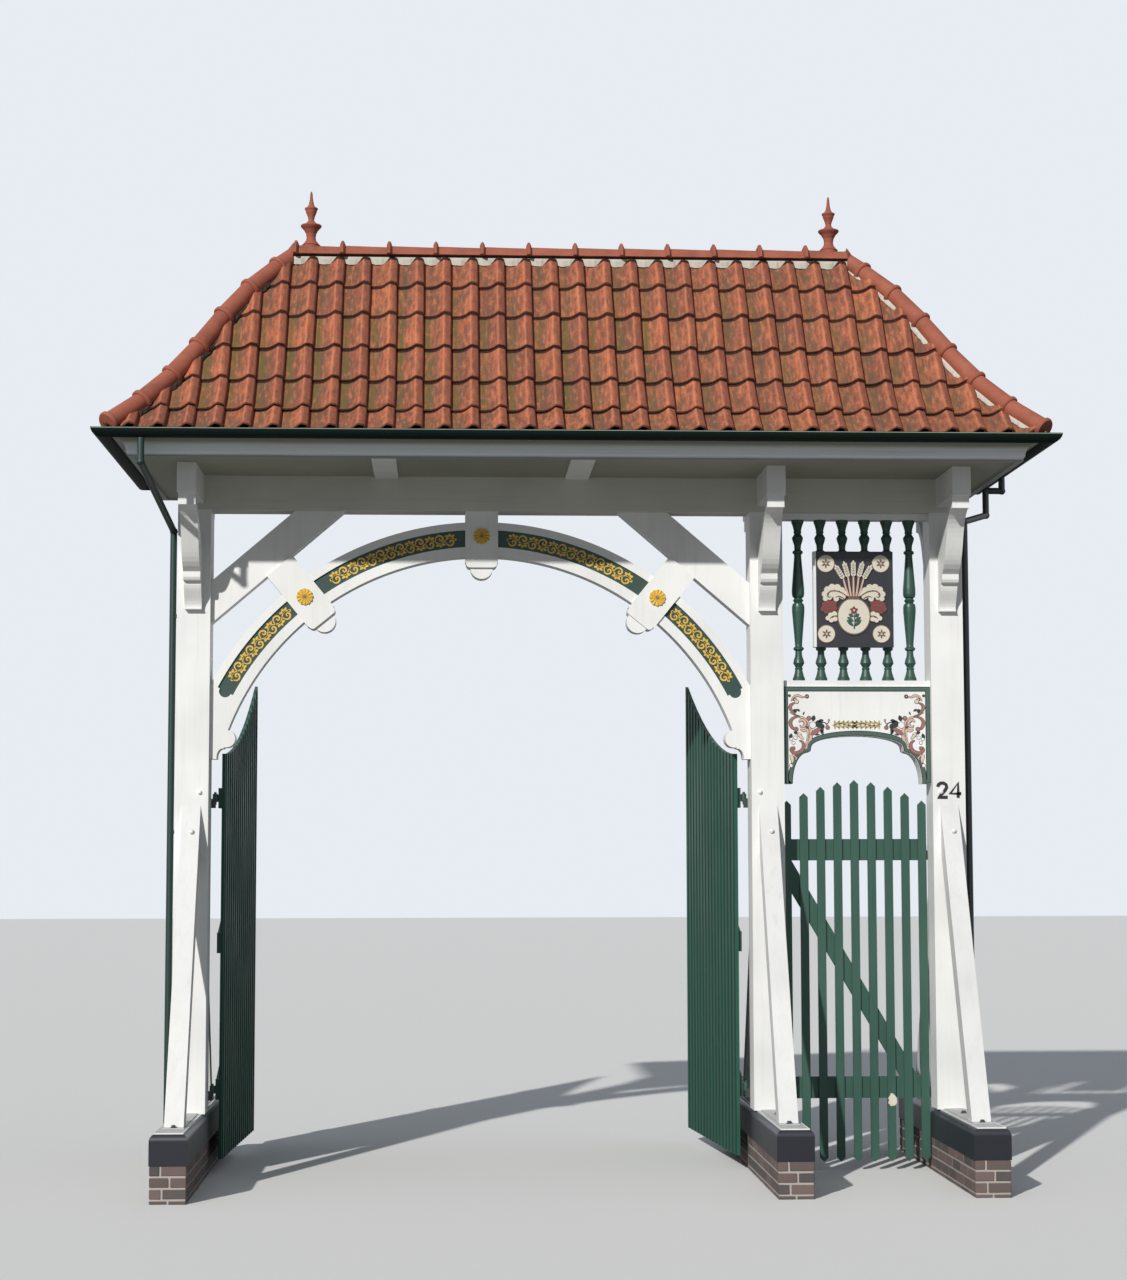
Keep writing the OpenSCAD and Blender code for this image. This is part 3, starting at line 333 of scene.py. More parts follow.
# Roof mortar; its darkest tone is painted shadow
MORTAR_AND_SHADE = fired("roof_mortar_and_shade", [(0.25, (0.040, 0.028, 0.022)), (0.35, (0.36, 0.34, 0.29)),
                               (0.6, (0.55, 0.53, 0.46)), (0.9, (0.66, 0.64, 0.57))],
               (0.25, 0.23, 0.19), 0.95)
JOINTS = fired("brick_mortar", [(0.2, (0.27, 0.25, 0.22)), (0.7, (0.42, 0.39, 0.35)),
                                (0.9, (0.46, 0.43, 0.39))], (0.16, 0.14, 0.12), 0.95)
BRICK = fired("plinth_brick", [(0.12, (0.070, 0.065, 0.066)), (0.35, (0.104, 0.088, 0.085)),
                               (0.55, (0.142, 0.097, 0.092)), (0.80, (0.168, 0.122, 0.114))],
              (0.07, 0.055, 0.050), 0.88)
GLAZE = fired("coping_glaze", [(0.1, (0.008, 0.010, 0.017)), (0.5, (0.014, 0.016, 0.025)),
                               (0.9, (0.026, 0.028, 0.036))], (0.034, 0.032, 0.032), 0.42, 0.10)
IRON = metal_paint("strap_iron", (0.03, 0.035, 0.035), 0.5)
ZINC = metal_paint("sole_plate", (0.46, 0.47, 0.46), 0.55, (0.28, 0.27, 0.25), 0.15)
PIPE_GREEN = metal_paint("pipe_green", (0.008, 0.030, 0.024), 0.45, (0.02, 0.035, 0.03))
# The gutters' green is darker than the downpipe's, as painted shade
GUTTER_SHADED = metal_paint("gutter_green_shaded", (0.0035, 0.0100, 0.0075), 0.6, (0.008, 0.012, 0.010), 0.0, 0.12)
# Pale green of the gutters' rim: worn paint and painted highlight
GUTTER_RIM_HIGHLIGHT = metal_paint("gutter_rim_highlight", (0.26, 0.31, 0.25), 0.45, (0.12, 0.15, 0.12))
PIPE_DARK = metal_paint("pipe_dark", (0.03, 0.034, 0.038), 0.38, (0.09, 0.09, 0.09))


# Mesh tools
def strips(rows, size, wrap=True, ring=False):
    """Quads between rows of verts, each row size verts long. wrap closes each row, ring the rows."""
    faces = []
    for j in range(rows if ring else rows - 1):
        here, there = j * size, (j + 1) % rows * size
        for k in range(size if wrap else size - 1):
            m = (k + 1) % size
            faces.append([here + k, here + m, there + m, there + k])
    return faces


def bar_faces(rows, size):
    """Faces of a bar made of rows of verts, with its two ends."""
    return strips(rows, size) + [[*range(size)][::-1], [(rows - 1) * size + k for k in range(size)]]


def bevel_box(lo, hi, bevel, wobble=0.0):
    """Verts and faces of a box with chamfered edges."""
    middle = [(a + b) / 2 for a, b in zip(lo, hi)]
    reach = [(b - a) / 2 for a, b in zip(lo, hi)]
    corners = list(product((-1, 1), repeat=3))
    verts, index = [], {}
    for signs in corners:
        for axis in range(3):
            inset = [0 if a == axis else bevel for a in range(3)]
            p = [c + s * (h - i) for c, s, h, i in zip(middle, signs, reach, inset)]
            if wobble:
                p = [v - math.copysign(rng.random() * wobble, s) for v, s in zip(p, signs)]
            index[(*signs, axis)] = len(verts)
            verts.append(tuple(p))

    def vert(axis, s, su, sv, owner):
        key = [su, sv]
        key.insert(axis, s)
        return index[(*key, owner)]

    faces = [[index[(*signs, axis)] for axis in range(3)] for signs in corners]
    for axis in range(3):
        u, v = [a for a in range(3) if a != axis]
        for s in (-1, 1):
            quad = [vert(axis, s, su, sv, axis) for su, sv in ((-1, -1), (1, -1), (1, 1), (-1, 1))]
            faces.append(quad if (s == 1) == (axis != 1) else quad[::-1])
        for su, sv in product((-1, 1), repeat=2):
            faces.append([vert(axis, s, su, sv, owner) for s, owner in ((-1, u), (-1, v), (1, v), (1, u))])
    return verts, faces


def around(x, z, rx, rz, sides):
    """Points round an ellipse in X and Z."""
    angles = [2 * math.pi * k / sides for k in range(sides)]
    return [(x + rx * math.cos(angle), z + rz * math.sin(angle)) for angle in angles]


def beside(points, i, off):
    """The point at i, moved by off to the left of the way the points run."""
    ax, az, *_ = points[max(i - 1, 0)]
    bx, bz, *_ = points[min(i + 1, len(points) - 1)]
    dx, dz = bx - ax, bz - az
    size = math.hypot(dx, dz)
    return points[i][0] - dz / size * off, points[i][1] + dx / size * off


def smooth(points, steps=5):
    """Curve through a few points, with as many steps between each two."""
    pts = [points[0], *points, points[-1]]
    out = []
    for i in range(1, len(pts) - 2):
        for k in range(steps):
            t = k / steps
            out.append(tuple(
                0.5 * (2 * b + (c - a) * t + (2 * a - 5 * b + 4 * c - d) * t * t
                       + (3 * b - a - 3 * c + d) * t ** 3)
                for a, b, c, d in zip(*pts[i - 1:i + 3])))
    return out + [tuple(points[-1])]


def mirrored(angle, keep):
    return angle if keep else math.pi - angle


class Batch:
    """Collects many small solids into one piece. Flat ornament is laid on the surface at Y = face."""

    def __init__(self, face=0.0):
        self.face = face
        self.verts = []
        self.faces = []
        self.uvs = []
        self.attrs = {}

    def extend(self, verts, faces, uvs=None, tone=0.5, **attrs):
        start = len(self.verts)
        self.verts += [tuple(v) for v in verts]
        self.faces += [tuple(i + start for i in f) for f in faces]
        self.uvs += uvs or [(0.5, 0.5)] * len(verts)
        for key, value in {"tone": tone, **attrs}.items():
            self.attrs.setdefault(key, []).extend([value] * len(verts))

    def box(self, lo, hi, bevel, tone=0.5):
        self.extend(*bevel_box(lo, hi, bevel), tone=tone)

    def plate(self, outline, thick=0.002):
        """Prism of an outline in X and Z, standing out of the face."""
        verts = [(x, y, z) for y in (self.face - thick, self.face) for x, z in outline]
        self.extend(verts, bar_faces(2, len(outline)))

    def disc(self, x, z, r, thick=0.002, sides=12):
        self.plate(around(x, z, r, r, sides), thick)

    def leaf(self, x, z, length, width, angle, thick=0.002):
        ca, sa = math.cos(angle), math.sin(angle)
        half = [(t / 8 * length, width / 2 * math.sin(math.pi * t / 8) ** 0.8) for t in range(9)]
        outline = half + [(u, -v) for u, v in half[7:0:-1]]
        self.plate([(x + ca * u - sa * v, z + sa * u + ca * v) for u, v in outline], thick)

    def stroke(self, points, widths, thick=0.002):
        """Flat bar along points in X and Z, with one width or the width at each point."""
        if isinstance(widths, float):
            widths = [widths] * len(points)
        verts = []
        for i, width in enumerate(widths):
            left, right = beside(points, i, width / 2), beside(points, i, -width / 2)
            verts += [(x, self.face - thick, z) for x, z in (left, right)]
            verts += [(x, self.face, z) for x, z in (right, left)]
        self.extend(verts, bar_faces(len(points), 4))

    def make(self, name, mat, slot, body=ROOT, smooth=False, outward=True):
        """The finished piece, with the faces of its closed solids turned outwards."""
        mesh = bpy.data.meshes.new(name)
        mesh.from_pydata(self.verts, [], self.faces)
        layer = mesh.uv_layers.new(name="UVMap")
        for loop in mesh.loops:
            layer.data[loop.index].uv = self.uvs[loop.vertex_index]
        for key, values in self.attrs.items():
            mesh.attributes.new(key, "FLOAT", "POINT").data.foreach_set("value", values)
        mesh.materials.append(mat)
        for polygon in mesh.polygons:
            polygon.use_smooth = smooth
        mesh.update()
        obj = in_scene(name, mesh)
        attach(obj, body)
        if outward:
            bm = bmesh.new()
            bm.from_mesh(mesh)
            bmesh.ops.recalc_face_normals(bm, faces=bm.faces)
            bm.to_mesh(mesh)
            bm.free()
        return obj


# Camera at the photograph's place. Its focal length was found in pixels of a picture 1280 high
FOCAL_PIXELS = 2480.8
PICTURE_HIGH = 1280
SENSOR = 36.0
YAW, PITCH, ROLL = 0.0477, 0.0879, -0.0018
camera_data = bpy.data.cameras.new("camera")
camera = in_scene("camera", camera_data)
camera_data.sensor_fit = "AUTO"
camera_data.sensor_width = SENSOR
camera_data.lens = FOCAL_PIXELS / PICTURE_HIGH * SENSOR
camera_data.clip_end = 200
turn = Matrix.Rotation(-YAW, 4, "Z") @ Matrix.Rotation(math.pi / 2 + PITCH, 4, "X")
camera.matrix_world = Matrix.Translation((-2.395, -18.474, 2.315)) @ turn @ Matrix.Rotation(ROLL, 4, "Z")
bpy.context.scene.camera = camera


# Roof surface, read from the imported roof: the upper and lower line of each course, as distance
# from the ridge and height
rings = sorted({(round(v.co.z, 5), round(abs(v.co.y), 5)) for v in nodes["roof"].data.vertices}, reverse=True)
COURSES = [((r0, z0), (r1, z1)) for (z0, r0), (z1, r1) in zip(rings[0::2], rings[1::2])]
ROOF_RUN = COURSES[-1][1][0]
RIDGE_R, RIDGE_Z = COURSES[0][0]
RIDGE_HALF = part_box("roof")[1].x - ROOF_X - ROOF_RUN

# Cross-section of a pantile: place across the tile and height of its upper face
TILE_COVER = 0.2
TILE_START = 0.087
TILE_SPARE = 0.02
RIDGE_LIFT = 0.032
PROFILE = [(-0.012, -0.004), (0.000, -0.018), (0.012, -0.024), (0.035, -0.026), (0.065, -0.024),
           (0.090, -0.017), (0.112, -0.004), (0.132, 0.013), (0.144, 0.024), (0.152, 0.028),
           (0.162, 0.026), (0.194, 0.016), (0.200, 0.010), (0.203, -0.004), (0.204, -0.016)]
CLAY_T = 0.013


def tile_shape(batch, origin, across, down, normal, length, moss, clips):
    """One pantile. origin is its lower left corner; across, down and normal are unit vectors."""
    steps = [0.0, 0.03, 0.35, 0.7, 1.0]
    tilt = rng.uniform(-0.004, 0.004)
    skew = rng.uniform(-0.004, 0.004)
    lift = rng.uniform(-0.002, 0.002)
    verts, uvs = [], []
    for layer, s in product((0, 1), steps):
        # The nose is rounded and lies higher than the rest of the tile
        drop = (0.0, CLAY_T)[layer] + ((0.003, 0.004)[layer] if s == 0.0 else 0.0)
        rise = 0.006 * max(0.0, 1 - s / 0.35)
        for x, h in PROFILE:
            height = h - drop + rise + lift + tilt * (x - 0.1) * 3
            verts.append(origin + across * (x + skew * s) - down * (s * length) + normal * height)
            uvs.append((x / TILE_COVER, s))
    w, n = len(PROFILE), len(steps)
    under = w * n
    sheet = strips(n, w, wrap=False)
    rim = [*range(w)] + [j * w - 1 for j in range(2, n + 1)]
    rim += [(n - 1) * w + i for i in range(w - 2, -1, -1)] + [j * w for j in range(n - 2, 0, -1)]
    faces = sheet + [[i + under for i in face] for face in sheet]
    faces += [[a, b, b + under, a + under] for a, b in zip(rim, rim[1:] + rim[:1])]
    if clips:
        bm = bmesh.new()
        layer_uv = bm.verts.layers.float_vector.new("place")
        made = [bm.verts.new(v) for v in verts]
        for v, uv in zip(made, uvs):
            v[layer_uv] = (*uv, 0)
        for f in faces:
            bm.faces.new([made[i] for i in f])
        for point, away in clips:
            geom = bm.verts[:] + bm.edges[:] + bm.faces[:]
            result = bmesh.ops.bisect_plane(bm, geom=geom, plane_co=point, plane_no=away, clear_outer=True)
            edges = [e for e in result["geom_cut"] if isinstance(e, bmesh.types.BMEdge)]
            if edges:
                bmesh.ops.edgeloop_fill(bm, edges=edges)
        bm.verts.index_update()
        verts = [v.co.copy() for v in bm.verts]
        uvs = [tuple(v[layer_uv][:2]) for v in bm.verts]
        faces = [[v.index for v in f.verts] for f in bm.faces]
        bm.free()
        if not faces:
            return
    batch.extend(verts, faces, uvs, rng.random(), moss=moss)


def slope_tiles(name, out):
    """All courses of one slope; out points down the slope in plan."""
    batch = Batch()
    out = Vector(out)
    across = Vector((-out.y, out.x, 0))
    centre = Vector((ROOF_X + out.x * RIDGE_HALF, 0, 0))
    half = RIDGE_HALF if out.y else 0.0
    for i, ((r0, z0), (r1, z1)) in enumerate(COURSES):
        upper = centre + out * r0 + Vector((0, 0, z0 if i else z0 + RIDGE_LIFT))
        lower = centre + out * r1 + Vector((0, 0, z1))
        down = (lower - upper).normalized()
        normal = down.cross(across)
        length = (lower - upper).length + (0.04 if i else -0.045)
        count = math.ceil((half + r1) / TILE_COVER) + 1
        for k in range(-count, count + 1):
            x = TILE_START + k * TILE_COVER
            left, right = x - TILE_SPARE, x + TILE_COVER + TILE_SPARE
            if left > half + r1 or right < -half - r1:
                continue
            origin = lower + across * x
            clips = [(centre + across * sign * half, (across * sign - out).normalized())
                     for sign, edge in ((1, right), (-1, -left)) if edge > half + r0 - 0.06]
            damp = 0.3 + 0.75 * math.exp(-((origin.x + 3.0) / 2.0) ** 2)
            moss = max(0.0, rng.gauss(damp if 2 <= i <= 4 else 0.15, 0.25))
            tile_shape(batch, origin, across, down, normal, length, min(moss, 1.0), clips)
    return batch.make(name, CLAY, "tile")


tiles = [slope_tiles("pantiles_" + side, out) for side, out in (
    ("front", (0, -1, 0)), ("back", (0, 1, 0)), ("left", (-1, 0, 0)), ("right", (1, 0, 0)))]

# Underlay that closes the roof below the tiles
under = Batch()
rings = [(0.01, RIDGE_Z - 0.05)] + [(r - 0.03, z - 0.065) for _, (r, z) in COURSES]
rings[-1] = (ROOF_RUN - 0.05, EAVES_Z + 0.002)
verts = [(ROOF_X + sx * (RIDGE_HALF + r), sy * r, z)
         for r, z in rings for sx, sy in ((-1, -1), (1, -1), (1, 1), (-1, 1))]
under.extend(verts, bar_faces(len(rings), 4), tone=0.1)
for obj in (under.make("roof_underlay", BLACK_BOARD, "tile"), *tiles):
    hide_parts("roof")


# Mortar that fills the pans under the ridge tiles' edges and beside the hip tiles, and dark strips of painted
# shadow under the ridge tiles and beside the left hips
def mortar_strip(batch, inner, outer, low, steps, tone):
    """Bar between two lines of points, its outer edge ragged."""
    verts = []
    for k in range(steps + 1):
        (ax, ay, az), (bx, by, bz) = inner(k / steps), outer(k / steps, rng.uniform(-0.006, 0.006))
        verts += [(ax, ay, az), (bx, by, bz), (bx, by, bz - low), (ax, ay, az - low)]
    batch.extend(verts, bar_faces(steps + 1, 4), tone=tone)


(r0, z0), (r1, z1) = COURSES[0]
RIDGE_EDGE = 0.072
FALL = (z0 + RIDGE_LIFT - z1) / (r1 - r0)
ridge_bedding_and_shade = Batch()
for side in (-1, 1):
    def ridge_inner(t):
        return ROOF_X - RIDGE_HALF + 2 * RIDGE_HALF * t, side * RIDGE_EDGE, z0 + 0.012

    def ridge_outer(t, jitter):
        x = -RIDGE_HALF + 2 * RIDGE_HALF * t
        phase = (-side * x - TILE_START) / TILE_COVER % 1.0
        r = RIDGE_EDGE + 0.010 * math.cos(2 * math.pi * (phase - 0.28)) + jitter * 0.5
        return ROOF_X + x, side * r, z0 + RIDGE_LIFT - (r - r0) * FALL + 0.018

    mortar_strip(ridge_bedding_and_shade, ridge_inner, ridge_outer, 0.042, int(2 * RIDGE_HALF / 0.02), 0.62)
    # Dark strips along the bed: painted shadow under the ridge tiles' edges
    y0, y1 = sorted((side * 0.0632, side * 0.0665))
    ridge_bedding_and_shade.box((ROOF_X - RIDGE_HALF + 0.01, y0, z0 - 0.045),
                (ROOF_X + RIDGE_HALF - 0.01, y1, z0 + 0.0295), 0.0005, 0.0)
ridge_bedding_and_shade.make("ridge_mortar", MORTAR_AND_SHADE, "tile")

hip_line = [(RIDGE_R, RIDGE_Z)] + [(r, z) for _, (r, z) in COURSES]


def hip_point(t):
    """Distance from the ridge and height at a share of the hip's plan length."""
    r = RIDGE_R + 0.03 + (ROOF_RUN - RIDGE_R - 0.05) * t
    return next((r, za + (zb - za) * (r - ra) / (rb - ra))
                for (ra, za), (rb, zb) in zip(hip_line, hip_line[1:]) if r <= rb)


hip_pointing_and_shade = Batch()
for sx, sy, along_x in product((-1, 1), (-1, 1), (0, 1)):
    def hip_edge(t, off, rise):
        r, z = hip_point(t)
        u, v = (off, 0.0) if along_x else (0.0, off)
        return ROOF_X + sx * (RIDGE_HALF + r - u), sy * (r - v), z + rise

    # Beside the left hips on the front and back slopes the strips are dark: painted shadow of the hip tiles
    mortar_strip(hip_pointing_and_shade, lambda t: hip_edge(t, 0.05, -0.004), lambda t, j: hip_edge(t, 0.086 + j, -0.010),
                 0.03, 90, 0.0 if sx < 0 and along_x else 0.75)
hip_pointing_and_shade.make("hip_mortar_and_shade", MORTAR_AND_SHADE, "tile")

# Brickwork of the plinths: stretchers and bats round a mortar core. Each course has the share of
# the width where the end faces' joint lies, in front and behind, and how far the end bricks reach
BRICK_ROWS = [(0.30, 0.60, 0.115), (0.55, 0.35, 0.240), (0.34, 0.50, 0.115), (0.50, 0.30, 0.240)]
COURSE_H = 0.077
BRICK_T = 0.066
BRICK_LEN = 0.25
JOINT_HALF = 0.005
CORE_IN = 0.006


def brick_plinth(name, x):
    core, bricks = Batch(), Batch()
    w, end = PLINTH_HALF - CORE_IN, PLINTH_END - CORE_IN
    core.box((x - w, -end, 0.0), (x + w, end, BRICK_H), 0.001, rng.random())
    core_obj = core.make(name + "_mortar", JOINTS, "brick", outward=False)
    for row, (front_cut, back_cut, depth) in enumerate(BRICK_ROWS):
        top = BRICK_H - COURSE_H * row
        spots = []
        for end, cut in ((-1, front_cut), (1, back_cut)):
            cut = PLINTH_HALF * (2 * cut - 1)
            ys = sorted((end * PLINTH_END, end * (PLINTH_END - depth)))
            spots += [(-PLINTH_HALF, cut - JOINT_HALF, *ys), (cut + JOINT_HALF, PLINTH_HALF, *ys)]
        run = 2 * (PLINTH_END - depth - 2 * JOINT_HALF)
        count = round(run / BRICK_LEN)
        for k in range(count):
            ya = run * (k / count - 0.5) + (JOINT_HALF if k else 0)
            yb = run * ((k + 1) / count - 0.5) - JOINT_HALF
            spots += [(-PLINTH_HALF, -JOINT_HALF, ya, yb), (JOINT_HALF, PLINTH_HALF, ya, yb)]
        for xa, xb, ya, yb in spots:
            box = bevel_box((x + xa, ya, max(top - BRICK_T, 0.001)), (x + xb, yb, top), 0.004, 0.002)
            bricks.extend(*box, tone=rng.random())
    return core_obj, bricks.make(name + "_bricks", BRICK, "brick")


for label, x in zip(("left", "middle", "right"), POST_XS):
    for obj in brick_plinth("plinth_" + label, x):
        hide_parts("plinth_" + label)

# Band of the arch: a running vine in gold, with leaves and buds
ARCH_Z = 2.565
ARCH_R = 1.998 + 0.129 + 0.008
# Pitch of the curls, and what stays free at each end of a length of band, in degrees
VINE_PITCH = 4.1
VINE_FREE = 0.7
VINE_CURL = [(0.02, 0.004), (0.10, -0.024), (0.30, -0.039), (0.56, -0.040), (0.78, -0.026), (0.76, -0.008),
             (0.56, -0.003), (0.45, -0.014), (0.54, -0.022)]
vine = Batch(-0.075 + 0.020 - 0.006)
for a0, a1 in ((-60.5, -41.2), (-32.3, -4.6), (4.6, 32.3), (41.2, 60.5)):
    span = a1 - a0 - 2 * VINE_FREE
    count = round(span / (VINE_PITCH / 2))
    step = span / count

    def band_angle(turns):
        return math.radians(a0 + VINE_FREE + step * turns)

    def band_place(turns, off):
        a = band_angle(turns)
        return PASSAGE_X + (ARCH_R + off) * math.sin(a), ARCH_Z + (ARCH_R + off) * math.cos(a)

    vine.stroke([band_place(k / 8, 0.019 * math.sin(math.pi * k / 8)) for k in range(count * 8 + 1)], 0.009)
    for k in range(count):
        side = -1 if k % 2 else 1
        curl = smooth([band_place(k + t, side * off) for t, off in VINE_CURL], 4)
        vine.stroke(curl, [0.006 + 0.007 * math.sin(math.pi * i / 32) for i in range(33)])
        ahead = side * math.pi / 2 - band_angle(k + 0.5)
        for turned, size in ((-1.15, 0.040), (0.0, 0.031), (1.15, 0.040)):
            vine.leaf(*band_place(k + 0.5, side * 0.019), size, 0.020, ahead + turned)
    for turns in (0.0, count):
        vine.disc(*band_place(turns, 0.0), 0.011)
vine.make("arch_vine", GOLD, "gold")

# Rosettes: a gold flower with cut petals round a small dark eye
ROSETTE_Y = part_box("rosettes")[0].y
PETAL_ROWS = [(0.012, 0.0035), (0.026, 0.0075), (0.042, 0.0105), (0.055, 0.0105), (0.061, 0.005)]
groups = {}
for v in nodes["rosettes"].data.vertices:
    groups.setdefault(round((v.co.x - PASSAGE_X) / 1.2), []).append(v.co)
petals, eyes = Batch(), Batch(ROSETTE_Y - 0.004)
for pts in groups.values():
    x, z = [(min(values) + max(values)) / 2 for values in ([p.x for p in pts], [p.z for p in pts])]
    for k in range(12):
        ca, sa = math.cos(math.pi * k / 6), math.sin(math.pi * k / 6)
        verts = [(x + ca * u - sa * side * w, ROSETTE_Y - 0.001 - rise, z + sa * u + ca * side * w)
                 for u, w in PETAL_ROWS for side, rise in ((-1, 0.0), (0, 0.006), (1, 0.0))]
        petals.extend(verts, strips(len(PETAL_ROWS), 3, wrap=False))
    eyes.disc(x, z, 0.011, 0.004)
petals.make("rosette_petals", GOLD, "gold", outward=False)
eyes.make("rosette_eyes", ROSE, "gold")

# Panel over the wicket: a dark green border that follows its edge, and scrolls in the corners
lo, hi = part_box("wicket_panel")
PANEL_Y = lo.y
PANEL_TOP = hi.z
HALF = (hi.x - lo.x) / 2
CROWN = -0.370
SHOULDER_U = 0.62 * HALF
SHOULDER_Z = CROWN - 0.115
FOOT_U = HALF - 0.070
SIDE_Z = lo.z - hi.z


def panel_loop(inset):
    """Closed outline inset from the panel's edge; its right half starts at the crown."""
    pts = [(SHOULDER_U * math.sin(a), CROWN - 0.085 * (1 - math.cos(a)))
           for a in [math.radians(90 * i / 14) for i in range(15)]]
    pts.append((SHOULDER_U + 0.006, SHOULDER_Z))
    pts += [(SHOULDER_U + 0.030 + (FOOT_U - SHOULDER_U - 0.030) * math.sin(a),
             SIDE_Z + (SHOULDER_Z - 0.012 - SIDE_Z) * math.cos(a))
            for a in [math.radians(90 * i / 12) for i in range(13)]]
    moved = [(0.0, CROWN + inset)] + [beside(pts, i, inset) for i in range(1, len(pts))]
    right = [(x, z) for x, z in moved if x < HALF - inset * 0.6] + [(HALF - inset, SIDE_Z + inset * 1.3)]
    loop = right + [(HALF - inset, -inset), (inset - HALF, -inset)] + [(-x, z) for x, z in right[:0:-1]]
    return [(BAY_X + x, PANEL_TOP + z) for x, z in loop]


def border_ring(name, mat, out_inset, in_inset, thick):
    verts = []
    for outer, inner in zip(panel_loop(out_inset), panel_loop(in_inset)):
        verts += [(x, PANEL_Y - thick, z) for x, z in (outer, inner)]
        verts += [(x, PANEL_Y, z) for x, z in (inner, outer)]
    ring = Batch()
    ring.extend(verts, strips(len(verts) // 4, 4, ring=True))
    ring.make(name, mat, "green_paint")


border_ring("panel_border_line", BORDER_DARK, 0.0015, 0.0385, 0.0015)
border_ring("panel_border", BORDER, 0.0080, 0.0315, 0.0022)

# Corner scrolls of leaves, curls and berries, the same on both sides. Places are millimetres
# inwards from the panel's side and down from its top; each shape has a dark outline under it.
SCROLL_PAINTS = {"line": LINE, "rose": ROSE, "blush": BLUSH, "cream": PEACH, "green": BORDER_DARK,
                 "white": WHITE}
CURLS = [
    (1, "blush", [(176, 76), (146, 81), (114, 69), (83, 78), (62, 110)], [7, 15, 21, 17, 8]),
    (2, "rose", [(89, 123), (62, 138), (54, 163), (72, 191), (99, 217), (128, 228)], [10, 24, 27, 20, 12, 7]),
    (0, "blush", [(50, 196), (85, 212), (122, 226), (170, 250), (196, 300), (207, 352), (198, 410),
                  (176, 454), (141, 489)], [6, 12, 16, 24, 30, 33, 30, 24, 6]),
    (1, "cream", [(150, 262), (176, 300), (188, 352), (181, 408), (160, 458)], [8, 16, 20, 18, 6]),
    (2, "rose", [(120, 226), (78, 236), (55, 266), (64, 304), (88, 322)], [8, 20, 28, 26, 18]),
    (2, "blush", [(118, 268), (140, 250), (166, 268), (160, 296), (136, 304), (128, 288)],
     [12, 22, 24, 20, 16, 8]),
    (1, "blush", [(128, 322), (158, 332), (178, 310), (166, 292)], [10, 24, 20, 8]),
    (1, "rose", [(205, 362), (236, 344), (262, 326), (290, 312)], [12, 38, 32, 10]),
    (0, "line", [(284, 274), (306, 270), (324, 280), (334, 300)], [8, 8, 9, 12]),
    (0, "line", [(330, 278), (342, 270), (344, 256)], [7, 7, 8]),
    (2, "rose", [(120, 404), (146, 420), (152, 452), (130, 486), (86, 499), (58, 476), (66, 454)],
     [9, 22, 28, 29, 28, 25, 15]),
    (1, "cream", [(56, 508), (66, 540), (70, 574)], [20, 30, 9]),
    (2, "blush", [(78, 520), (96, 534), (90, 552)], [8, 18, 8]),
    (1, "cream", [(104, 352), (128, 372), (150, 398)], [8, 24, 12]),
    (3, "line", [(140, 262), (156, 272), (152, 288)], [4, 5, 4]),
    (3, "line", [(176, 262), (192, 310), (192, 360), (180, 410)], [3, 4, 4, 3]),
    (3, "line", [(100, 76), (84, 90), (76, 108)], [3, 4, 3]),
]
DOTS = [
    (1, "line", 50, 70, 11), (1, "line", 181, 75, 16), (2, "blush", 181, 75, 9), (2, "cream", 104, 114, 17),
    (1, "blush", 94, 102, 14), (2, "green", 89, 184, 15), (3, "rose", 97, 320, 18),
    (1, "rose", 194, 239, 18), (2, "blush", 194, 237, 8), (1, "white", 222, 290, 26),
    (0, "green", 267, 281, 28), (1, "green", 292, 300, 20), (0, "green", 290, 328, 16),
    (1, "rose", 334, 308, 17), (0, "blush", 344, 252, 9), (1, "white", 60, 394, 14),
    (1, "white", 92, 384, 15), (1, "white", 76, 422, 14), (3, "rose", 76, 463, 15),
    (1, "white", 57, 592, 15), (0, "white", 121, 362, 18),
]
LEAVES = [
    (1, "green", 222, 262, 44, 30, 1.3), (0, "green", 262, 262, 40, 24, 0.2),
    (1, "green", 64, 352, 40, 26, -1.9), (0, "green", 78, 340, 34, 22, -0.4),
    (0, "line", 57, 600, 40, 18, -1.57), (0, "green", 280, 330, 34, 20, -0.9),
    (0, "line", 150, 216, 26, 10, 1.2), (0, "green", 100, 170, 30, 16, -0.5),
    (0, "line", 240, 366, 34, 10, 0.25),
]
# Thickness of the lowest rank, what each rank adds, and the width of an outline
DEEP = 0.0016
STEP = 0.0007
RIM = 0.0032
scrolls = {paint: Batch(PANEL_Y) for paint in SCROLL_PAINTS}


def panel_place(flip, a, d):
    return BAY_X - flip * (HALF - a / 1000), PANEL_TOP - d / 1000


def coats(paint, rank):
    """The batches a shape goes to, its own paint and the outline under it: margin and thickness."""
    own = [] if paint == "line" else [(scrolls[paint], RIM, DEEP + STEP * rank + 0.0003)]
    return own + [(scrolls["line"], 0.0, DEEP + STEP * rank)]


for flip in (-1, 1):
    for rank, paint, points, widths in CURLS:
        path = smooth([(*panel_place(flip, a, d), w / 1000) for (a, d), w in zip(points, widths)])
        for batch, margin, thick in coats(paint, rank):
            batch.stroke(path, [max(w - 2 * margin, 0.0015) for *_, w in path], thick)
    for rank, paint, a, d, r in DOTS:
        for batch, margin, thick in coats(paint, rank):
            batch.disc(*panel_place(flip, a, d), r / 1000 - margin, thick, 16)
    for rank, paint, a, d, length, width, angle in LEAVES:
        for batch, margin, thick in coats(paint, rank):
            outline = (length + 4) / 1000, (width + 2) / 1000
            size = (length / 1000, width / 1000 - margin) if margin else outline
            batch.leaf(*panel_place(flip, a, d), *size, mirrored(angle, flip > 0), thick)
for paint, mat in SCROLL_PAINTS.items():
    scrolls[paint].make("scroll_" + paint, mat, "white_paint")

